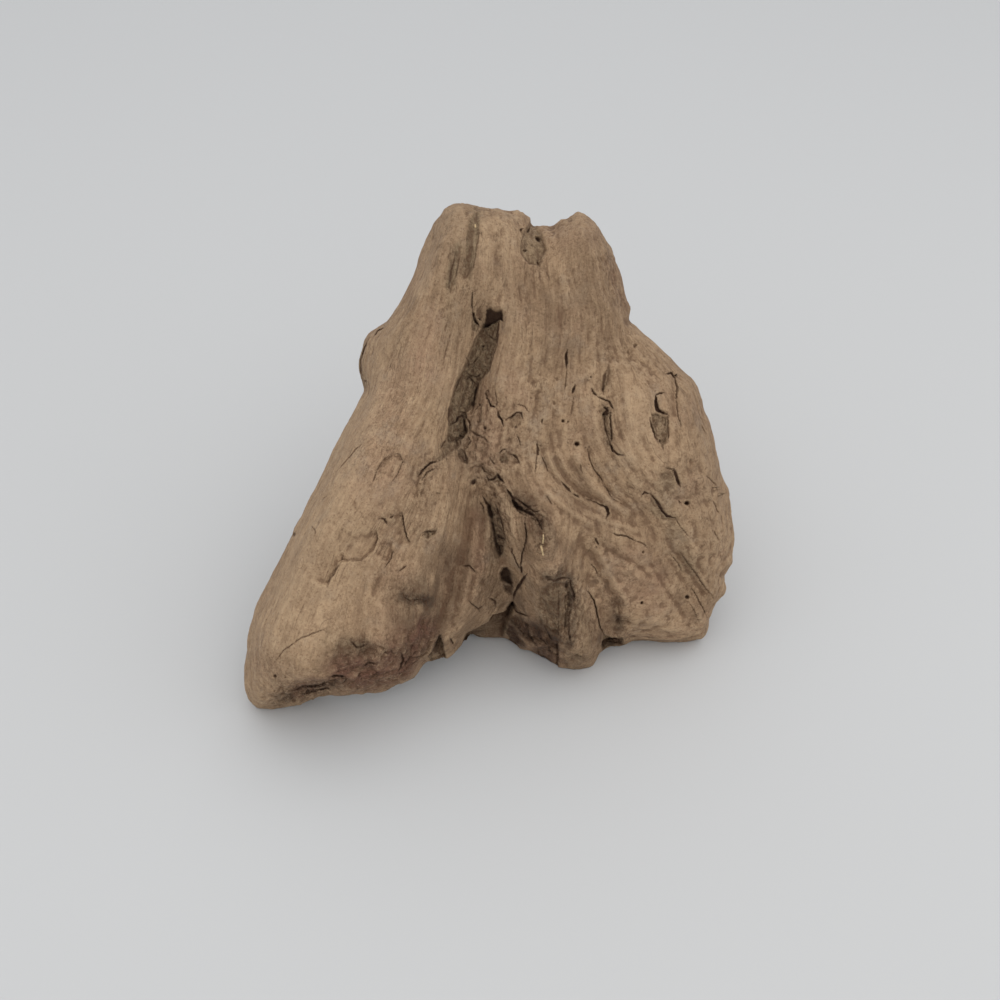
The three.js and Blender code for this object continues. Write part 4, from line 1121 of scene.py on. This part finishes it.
def roughen(places, normals, grain_height):
    """Grain ridges, worn dents, flaking and fine rubble, and how dark the painted shade is in the rough
    ground's low specks and in the back's creases.
    """
    grain = grain_places(places)
    seen = photo_places(places)
    front = smoothstep(facing_out(normals), -0.1, 0.3)
    low = smoothstep(-places[:, 2], -45, -15)
    fan = front * smoothstep(seen[:, 0], 500, 560) * smoothstep(seen[:, 1], 330, 470)
    limb = front * smoothstep(-seen[:, 0], -470, -400) * smoothstep(seen[:, 1], 330, 420)
    flaking = front * roughness_here(seen)
    coarse = 0.6 + 0.7 * fan + 0.6 * flaking - 0.15 * limb + 0.3 * low
    broad = waves(grain, (9, 12, 60))
    ridges = waves(grain, (3.4, 5.5, 30), 5.1)
    fibres = waves(grain, (1.9, 3.2, 14), 9.7)
    dents = waves(places, 15, layers=3)
    grit = waves(places, 2.6, 3.3, layers=2)
    flakes = stepped(2.2 * waves(grain, (3.8, 4.5, 8), 6.6, layers=3), flat=0.7)
    seen_rise = 0.75 * broad * coarse + 0.5 * ridges * coarse + 0.35 * fibres * (0.6 + coarse)
    rubble = flaking * (0.55 * flakes + 0.45 * grit)
    seen_rise += 0.45 * dents * (0.7 + coarse) + 0.16 * grit * coarse + rubble

    back_grain = back_grain_places(places)
    spines = waves(back_grain, (17, 17, 110), 1.7)
    ribs = waves(back_grain, (7, 7, 60), 4.4)
    cords = waves(back_grain, (3.6, 3.6, 32), 8.1)
    shelves = stepped(1.6 * waves(back_grain, (8, 8, 46), 2.9, layers=2), flat=0.72)
    creases = np.clip(1 - np.abs(waves(back_grain, (10, 10, 75), 2.2)) / 0.17, 0, 1)
    creases *= smoothstep(waves(places, 30, 5.5), -0.25, 0.2)
    back_rise = 1.9 * spines + 1.2 * ribs + 0.7 * cords + 0.8 * shelves + 0.5 * dents - 2.0 * creases**1.5

    hidden = behind(normals)
    rise = (1 - hidden) * seen_rise + hidden * back_rise
    on_ground = smoothstep(places[:, 2], 0.3, 4)
    moved = places + normals * (grain_height * rise * on_ground)[:, None]
    # Painted shade in the rough ground's low specks.
    painted_dent_and_crease_shade = np.minimum(flaking, 1) * smoothstep(-grit, 0.5, 0.85) * 0.55
    return moved, np.maximum(painted_dent_and_crease_shade, 0.7 * creases * hidden)


def crests(mesh, places, normals):
    """How far each place stands out from its neighbours: above 0 on ridges, below 0 in valleys."""
    ends = np.empty(2 * len(mesh.edges), np.int64)
    mesh.edges.foreach_get("vertices", ends)
    ends = ends.reshape(-1, 2)
    height = np.zeros(len(places))
    for _ in range(3):
        total = np.zeros_like(places)
        count = np.zeros(len(places))
        for one, other in ((0, 1), (1, 0)):
            for axis in range(3):
                total[:, axis] += np.bincount(ends[:, one], places[ends[:, other], axis], len(places))
            count += np.bincount(ends[:, one], minlength=len(places))
        around = total / np.maximum(count, 1)[:, None]
        height += np.sum((places - around) * normals, axis=1)
        places = 0.5 * (places + around)
    return np.clip(height / CREST_HEIGHT, -1, 1)


def worn_skin(solid, sizes):
    """A finer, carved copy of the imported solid's mesh, with each finish's strength as an attribute."""
    bm = bmesh.new()
    bm.from_mesh(solid)
    bmesh.ops.remove_doubles(bm, verts=bm.verts[:], dist=0.001 * MM)
    refine(bm, even_lengths, most_passes=2)
    soften(bm, 4)
    refine(bm, fine_lengths(sizes.fineness))
    soften(bm, 3)
    mesh = mesh_from(bm, SKIN)
    mesh.shade_smooth()

    places = read(mesh, "co") / MM
    normals = read(mesh, "normal")
    hidden = behind(normals)
    for name, grain in (("grain", grain_places(places)), ("back_grain", back_grain_places(places))):
        write(mesh, name, "FLOAT_VECTOR", "vector", grain / GRAIN_UNIT)
    places, painted_dent_and_crease_shade = roughen(places, normals, sizes.grain_height)
    normals = move_to(mesh, places)
    places, finish = carve(places, normals, sizes.split_depth)
    places[:, 2] = np.maximum(places[:, 2], 0)
    normals = move_to(mesh, places)
    # Painted shade: the wood that faces down is darkened, as if shaded from above.
    under = smoothstep(-normals[:, 2], 0.35, 0.85)
    # Painted shade in the rough ground's low specks and the back's creases.
    finish["hollow"] = np.maximum(finish["hollow"], painted_dent_and_crease_shade)
    finish["painted_shade"] = np.maximum(finish["painted_shade"], 0.45 * under)
    finish["crest"] = crests(mesh, places, normals)
    finish["behind"] = hidden
    for name, strength in finish.items():
        write(mesh, name, "FLOAT", "value", strength)
    return mesh


# ---- materials


class Value:
    """A socket's number, for Python expressions that add Math nodes."""

    def __init__(self, finish, socket):
        self.finish = finish
        self.socket = socket

    def _math(self, operation, first, second):
        return self.finish.node("Math", {"operation": operation}, {0: first, 1: second})

    def __add__(self, other):
        return self._math("ADD", self, other)

    def __radd__(self, other):
        return self._math("ADD", other, self)

    def __sub__(self, other):
        return self._math("SUBTRACT", self, other)

    def __rsub__(self, other):
        return self._math("SUBTRACT", other, self)

    def __mul__(self, other):
        return self._math("MULTIPLY", self, other)

    def __rmul__(self, other):
        return self._math("MULTIPLY", other, self)

    def __abs__(self):
        return self._math("ABSOLUTE", self, 0.0)


class Finish:
    """One material's node tree."""

    def __init__(self, name):
        self.material = bpy.data.materials.new(name)
        self.material.use_nodes = True
        self.tree = self.material.node_tree
        self.shader = self.tree.nodes["Principled BSDF"]

    def node(self, kind, settings=None, inputs=None, output=0):
        """Adds a node and gives one of its outputs."""
        made = self.tree.nodes.new("ShaderNode" + kind)
        for name, setting in (settings or {}).items():
            setattr(made, name, setting)
        self.feed(made, inputs or {})
        return Value(self, made.outputs[output])

    def feed(self, node, inputs):
        """Links or sets a node's sockets."""
        for name, given in inputs.items():
            if isinstance(given, Value):
                self.tree.links.new(given.socket, node.inputs[name])
            else:
                node.inputs[name].default_value = given

    def mask(self, value, low, high):
        """0 below low, 1 above high."""
        inputs = {"Value": value, "From Min": low, "From Max": high}
        return self.node("MapRange", {"interpolation_type": "SMOOTHSTEP"}, inputs)

    def attribute(self, name, output="Fac"):
        return self.node("Attribute", {"attribute_name": name}, output=output)

    def stretched(self, places, scale, shift):
        return self.node("Mapping", {}, {"Vector": places, "Scale": scale, "Location": shift})

    def noise(self, places, scale, detail, roughness=0.55):
        inputs = {"Vector": places, "Scale": scale, "Detail": detail, "Roughness": roughness}
        return self.node("TexNoise", {}, inputs, "Fac")

    def mix(self, share, one, other):
        """One colour where share is 0 and the other where it is 1."""
        settings = {"data_type": "RGBA", "blend_type": "MIX", "clamp_factor": True}
        return self.node("Mix", settings, {0: share, 6: one, 7: other}, 2)


def rgba(colour):
    return (*colour, 1.0)


def wood_finish(colours):
    """Dry, weathered wood: streaked along the grain, bleached on its crests, with painted shade in its
    splits, holes and valleys and on its undersides.
    """
    finish = Finish("weathered_wood")
    mask = finish.mask
    mark = {name: finish.attribute(name) for name in (*FINISHES, *SPLIT_LINE, "behind")}
    grains = [finish.attribute(name, "Vector") for name in ("grain", "back_grain")]
    place = finish.node("TexCoord", output="Object")
    shade = {name: rgba(getattr(colours, name)) for name in colours.__annotations__}

    def along_grain(scale, shift=(0, 0, 0), detail=4.0, roughness=0.6):
        laid = (finish.stretched(grain, scale, shift) for grain in grains)
        front, back = (finish.noise(places, 1.0, detail, roughness) for places in laid)
        return front + mark["behind"] * (back - front)

    def hairs(noise, half_width):
        return mask(half_width - abs(noise - 0.5), 0.0, half_width)

    bands = along_grain((1.7, 1.3, 0.17), detail=3.0)
    streaks = along_grain((7.0, 5.0, 0.55), roughness=0.62)
    threads = along_grain((17.0, 12.0, 1.3), (3, 1, 7), roughness=0.65)
    wanders = along_grain((2.3, 1.8, 0.11), (5, 2, 9), detail=3.0, roughness=0.5)
    blotches = finish.noise(place, scale=30.0, detail=4.0)
    patches = finish.noise(place, scale=75.0, detail=5.0, roughness=0.62)
    mottle = finish.noise(place, scale=260.0, detail=4.0, roughness=0.7)
    speckle = finish.noise(place, scale=900.0, detail=3.0, roughness=0.75)
    crumbs = finish.noise(place, scale=480.0, detail=3.0, roughness=0.7)
    hair = hairs(wanders, 0.012) * mask(patches, 0.46, 0.60)
    hair = hair + 0.6 * hairs(streaks, 0.012) * mask(blotches, 0.48, 0.60)

    # How strongly the deeper brown, the painted shade and the moss film lie here.
    darkened = mark["deep_brown_and_shade"] + mark["painted_shade"] + mark["moss"]
    side = abs(mark["split_side"] + 0.35 * (speckle - 0.5) + 0.45 * (mottle - 0.5))
    close_by = mask(mark["split_wide"] + 0.6 - mark["split_off"], 0.0, 0.3)
    # Painted shade drawn along each split, at its drawn half-width.
    line = mark["split_dark"] * close_by * mask(mark["split_wide"] - side, -0.08, 0.14)
    line = line * (0.5 + 0.5 * mask(mottle, 0.40, 0.56))
    # Darker beside each split: painted shade and dirt.
    dirt = mark["split_dark"] * mask(1.1 - mark["split_off"], 0.0, 1.1)
    # Painted shade inside splits, holes, pits and nicks, with broken edges.
    torn = mark["hollow"] + 0.9 * mark["hollow"] * (speckle - 0.5) + 0.25 * (mottle - 0.5)

    # Coats of colour, each over the last: which colour, and how much of it.
    coats = (
        ("clay", 0.45 * mask(blotches, 0.45, 0.68)),
        ("grey", 0.40 * mask(1 - patches, 0.50, 0.70)),
        ("pale", 0.40 * mask(patches, 0.52, 0.72)),
        ("brown", 0.80 * mask(mottle, 0.49, 0.64)),
        ("pale", 0.45 * mask(1 - mottle, 0.51, 0.66)),
        ("clay", 0.60 * mark["clay"]),
        ("pale", 0.60 * mark["pale"] + 0.35 * mask(mark["crest"], 0.1, 0.9)),
        # A deeper brown, partly painted shade.
        ("deep_brown_and_shade", 0.80 * mark["deep_brown_and_shade"]),
        ("rust", 0.75 * mark["rust"]),
        ("moss", 0.80 * mark["moss"]),
        # Painted shade.
        ("painted_shade", 0.85 * mark["painted_shade"]),
        ("dark", (0.30 + 0.45 * darkened) * mask(threads, 0.53, 0.70)),
        ("dark", (0.45 + 0.25 * darkened) * mask(speckle, 0.53, 0.67)),
        ("pale", (0.36 - 0.20 * darkened) * mask(1 - speckle, 0.54, 0.68)),
        ("dark", 0.50 * mark["crumb"] * mask(crumbs, 0.53, 0.65)),
        ("rust", 0.45 * mark["crumb"] * mark["rust"] * mask(patches, 0.44, 0.56)),
        ("dark", 0.60 * mark["moss"] * mask(mottle, 0.51, 0.60)),
        ("pale", 0.30 * mark["moss"] * mask(1 - mottle, 0.53, 0.63)),
        ("pale", (0.40 - 0.25 * darkened) * mark["crumb"] * mask(1 - crumbs, 0.53, 0.66)),
        ("dark", 0.45 * hair),
        # Darker in the valleys: partly dirt, partly painted shade.
        ("dark", 0.55 * mask(0 - mark["crest"], 0.1, 0.9)),
        # Painted shade and dirt beside the splits.
        ("dark", 0.25 * dirt),
        # Painted shade inside splits, holes, pits and nicks.
        ("hollow", 0.95 * mask(torn, 0.10, 0.85)),
        # Painted shade along each split, near black in the wide ones.
        ("dark", 0.90 * line),
        ("hollow", 0.90 * line * mask(mark["split_wide"], 0.22, 0.60)),
        ("splinter", mask(mark["splinter"], 0.25, 0.8)),
    )
    colour = finish.mix(mask(0.45 * bands + 0.55 * streaks, 0.40, 0.60), shade["brown"], shade["tan"])
    for name, share in coats:
        colour = finish.mix(share, colour, shade[name])

    relief = 0.28 * threads + 0.32 * streaks + 0.50 * mottle + 0.20 * speckle - 0.10 * hair - 0.45 * line
    relief = relief + mark["crumb"] * (0.9 * crumbs + 0.25 * speckle)
    bump = finish.node("Bump", {}, {"Strength": 1.0, "Distance": 0.0024, "Height": relief}, "Normal")
    roughness = 0.80 + 0.16 * speckle
    inputs = {"Base Color": colour, "Roughness": roughness, "Specular IOR Level": 0.3, "Normal": bump}
    finish.feed(finish.shader, inputs)
    return finish.material


def floor_finish():
    """Plain, pale and dull."""
    finish = Finish("pale_floor")
    finish.feed(finish.shader, {"Base Color": rgba(FLOOR_COLOUR), "Roughness": 0.95})
    return finish.material


# ---- what a user would change


def size_property(name, description, **limits):
    return bpy.props.FloatProperty(name=name, description=description, default=1.0, **limits)


def colour_property(name, description, default):
    return bpy.props.FloatVectorProperty(
        name=name, description=description, default=default, subtype="COLOR", size=3, min=0, max=1
    )


class DriftwoodSizes(bpy.types.PropertyGroup):
    """Sizes of the worn skin."""

    fineness: size_property("Fineness", "How fine the skin's mesh is, with 1 as rendered", min=0.3, max=1.4)
    grain_height: size_property("Grain height", "How far the ridges stand out, with 1 as on the real wood")
    split_depth: size_property("Split depth", "How deep the splits are, with 1 as on the real wood")


class DriftwoodColours(bpy.types.PropertyGroup):
    """Colours of the weathered wood."""

    tan: colour_property("Tan", "The light streaks of the grain", (0.398, 0.263, 0.153))
    brown: colour_property("Brown", "The dark streaks of the grain", (0.275, 0.176, 0.101))
    clay: colour_property("Clay", "The warm patches", (0.345, 0.212, 0.132))
    grey: colour_property("Grey", "The bleached grey patches", (0.315, 0.248, 0.180))
    # Dark also paints shade along the splits and in the valleys.
    dark: colour_property("Dark", "Threads of dirt in the grain", (0.114, 0.057, 0.030))
    pale: colour_property("Pale", "The rubbed crests", (0.486, 0.338, 0.206))
    # A deeper brown, which on the down-facing limb bulge, flange and stub is painted shade.
    deep_brown_and_shade: colour_property("Tea", "The brown stains", (0.180, 0.111, 0.062))
    rust: colour_property("Rust", "The reddish wood", (0.190, 0.088, 0.056))
    moss: colour_property("Moss", "The greenish grey film", (0.212, 0.158, 0.092))
    # Painted shade: the dark laid on undersides, in alcoves and gaps, and under overhangs.
    painted_shade: colour_property("Dusk", "The dark stained wood", (0.062, 0.040, 0.026))
    # Painted shade inside splits, holes, pits and nicks.
    hollow: colour_property("Hollow", "The inside of splits and holes", (0.050, 0.023, 0.012))
    splinter: colour_property("Splinter", "The torn bright fibre", (0.72, 0.53, 0.29))


# ---- the steps


def add_object(scene, name, data):
    """Puts a new object in the scene."""
    added = bpy.data.objects.new(name, data)
    scene.collection.objects.link(added)
    return added


class DRIFTWOOD_OT_wood(bpy.types.Operator):
    """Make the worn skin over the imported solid"""

    bl_idname = "driftwood.wood"
    bl_label = "Make the wood"

    def execute(self, context):
        scene = context.scene
        mesh = worn_skin(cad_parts[NODE].data, scene.driftwood_sizes)
        mesh.materials.append(wood_finish(scene.driftwood_colours))
        skin = add_object(scene, SKIN, mesh)
        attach(skin, "root")
        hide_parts(NODE)
        return {"FINISHED"}


class DRIFTWOOD_OT_stage(bpy.types.Operator):
    """Set up the pale floor, the soft light and the camera"""

    bl_idname = "driftwood.stage"
    bl_label = "Set the stage"

    def execute(self, context):
        scene = context.scene
        bm = bmesh.new()
        bmesh.ops.create_grid(bm, x_segments=1, y_segments=1, size=FLOOR_SIZE)
        mesh = mesh_from(bm, "floor")
        mesh.materials.append(floor_finish())
        add_object(scene, "floor", mesh)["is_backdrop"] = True

        world = bpy.data.worlds.new("soft_light")
        world.use_nodes = True
        sky = world.node_tree.nodes["Background"].inputs
        sky["Color"].default_value = rgba(SKY_COLOUR)
        sky["Strength"].default_value = SKY_STRENGTH
        scene.world = world
        for name, (place, size, power, colour) in LIGHTS.items():
            lamp = bpy.data.lights.new(name, "AREA")
            lamp.size = size
            lamp.energy = power
            lamp.color = colour
            holder = add_object(scene, name, lamp)
            holder.location = place
            holder.rotation_euler = (-Vector(place)).to_track_quat("-Z", "Y").to_euler()

        camera = bpy.data.cameras.new("camera")
        camera.lens = LENS
        camera.sensor_width = SENSOR
        seat = add_object(scene, "camera", camera)
        seat.location = Vector((FACE_MIDDLE + CAMERA_AWAY * OUT_OF_FACE) * MM)
        seat.rotation_euler = (math.pi / 2 - LOOK_DOWN, 0, 0)
        scene.camera = seat
        scene.view_settings.view_transform = "Standard"
        return {"FINISHED"}


class VIEW3D_PT_driftwood(bpy.types.Panel):
    """The driftwood's sizes, colours and steps"""

    bl_label = "Driftwood"
    bl_space_type = "VIEW_3D"
    bl_region_type = "UI"
    bl_category = "Driftwood"

    def draw(self, context):
        for group in (context.scene.driftwood_sizes, context.scene.driftwood_colours):
            box = self.layout.box()
            for name in group.__annotations__:
                box.prop(group, name)
        for operator in OPERATORS:
            self.layout.operator(operator.bl_idname)


OPERATORS = (DRIFTWOOD_OT_stage, DRIFTWOOD_OT_wood)
GROUPS = (DriftwoodSizes, DriftwoodColours)
CLASSES = (*GROUPS, *OPERATORS, VIEW3D_PT_driftwood)


def register():
    for cls in CLASSES:
        bpy.utils.register_class(cls)
    bpy.types.Scene.driftwood_sizes = bpy.props.PointerProperty(type=DriftwoodSizes)
    bpy.types.Scene.driftwood_colours = bpy.props.PointerProperty(type=DriftwoodColours)


def unregister():
    del bpy.types.Scene.driftwood_colours
    del bpy.types.Scene.driftwood_sizes
    for cls in reversed(CLASSES):
        bpy.utils.unregister_class(cls)


def main():
    register()
    bpy.ops.driftwood.stage()
    bpy.ops.driftwood.wood()
    boxes = {"cad": CAD_BOX, "visual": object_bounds()}
    plain = {name: [list(corner) for corner in box] for name, box in boxes.items()}


if __name__ == "__main__":
    main()
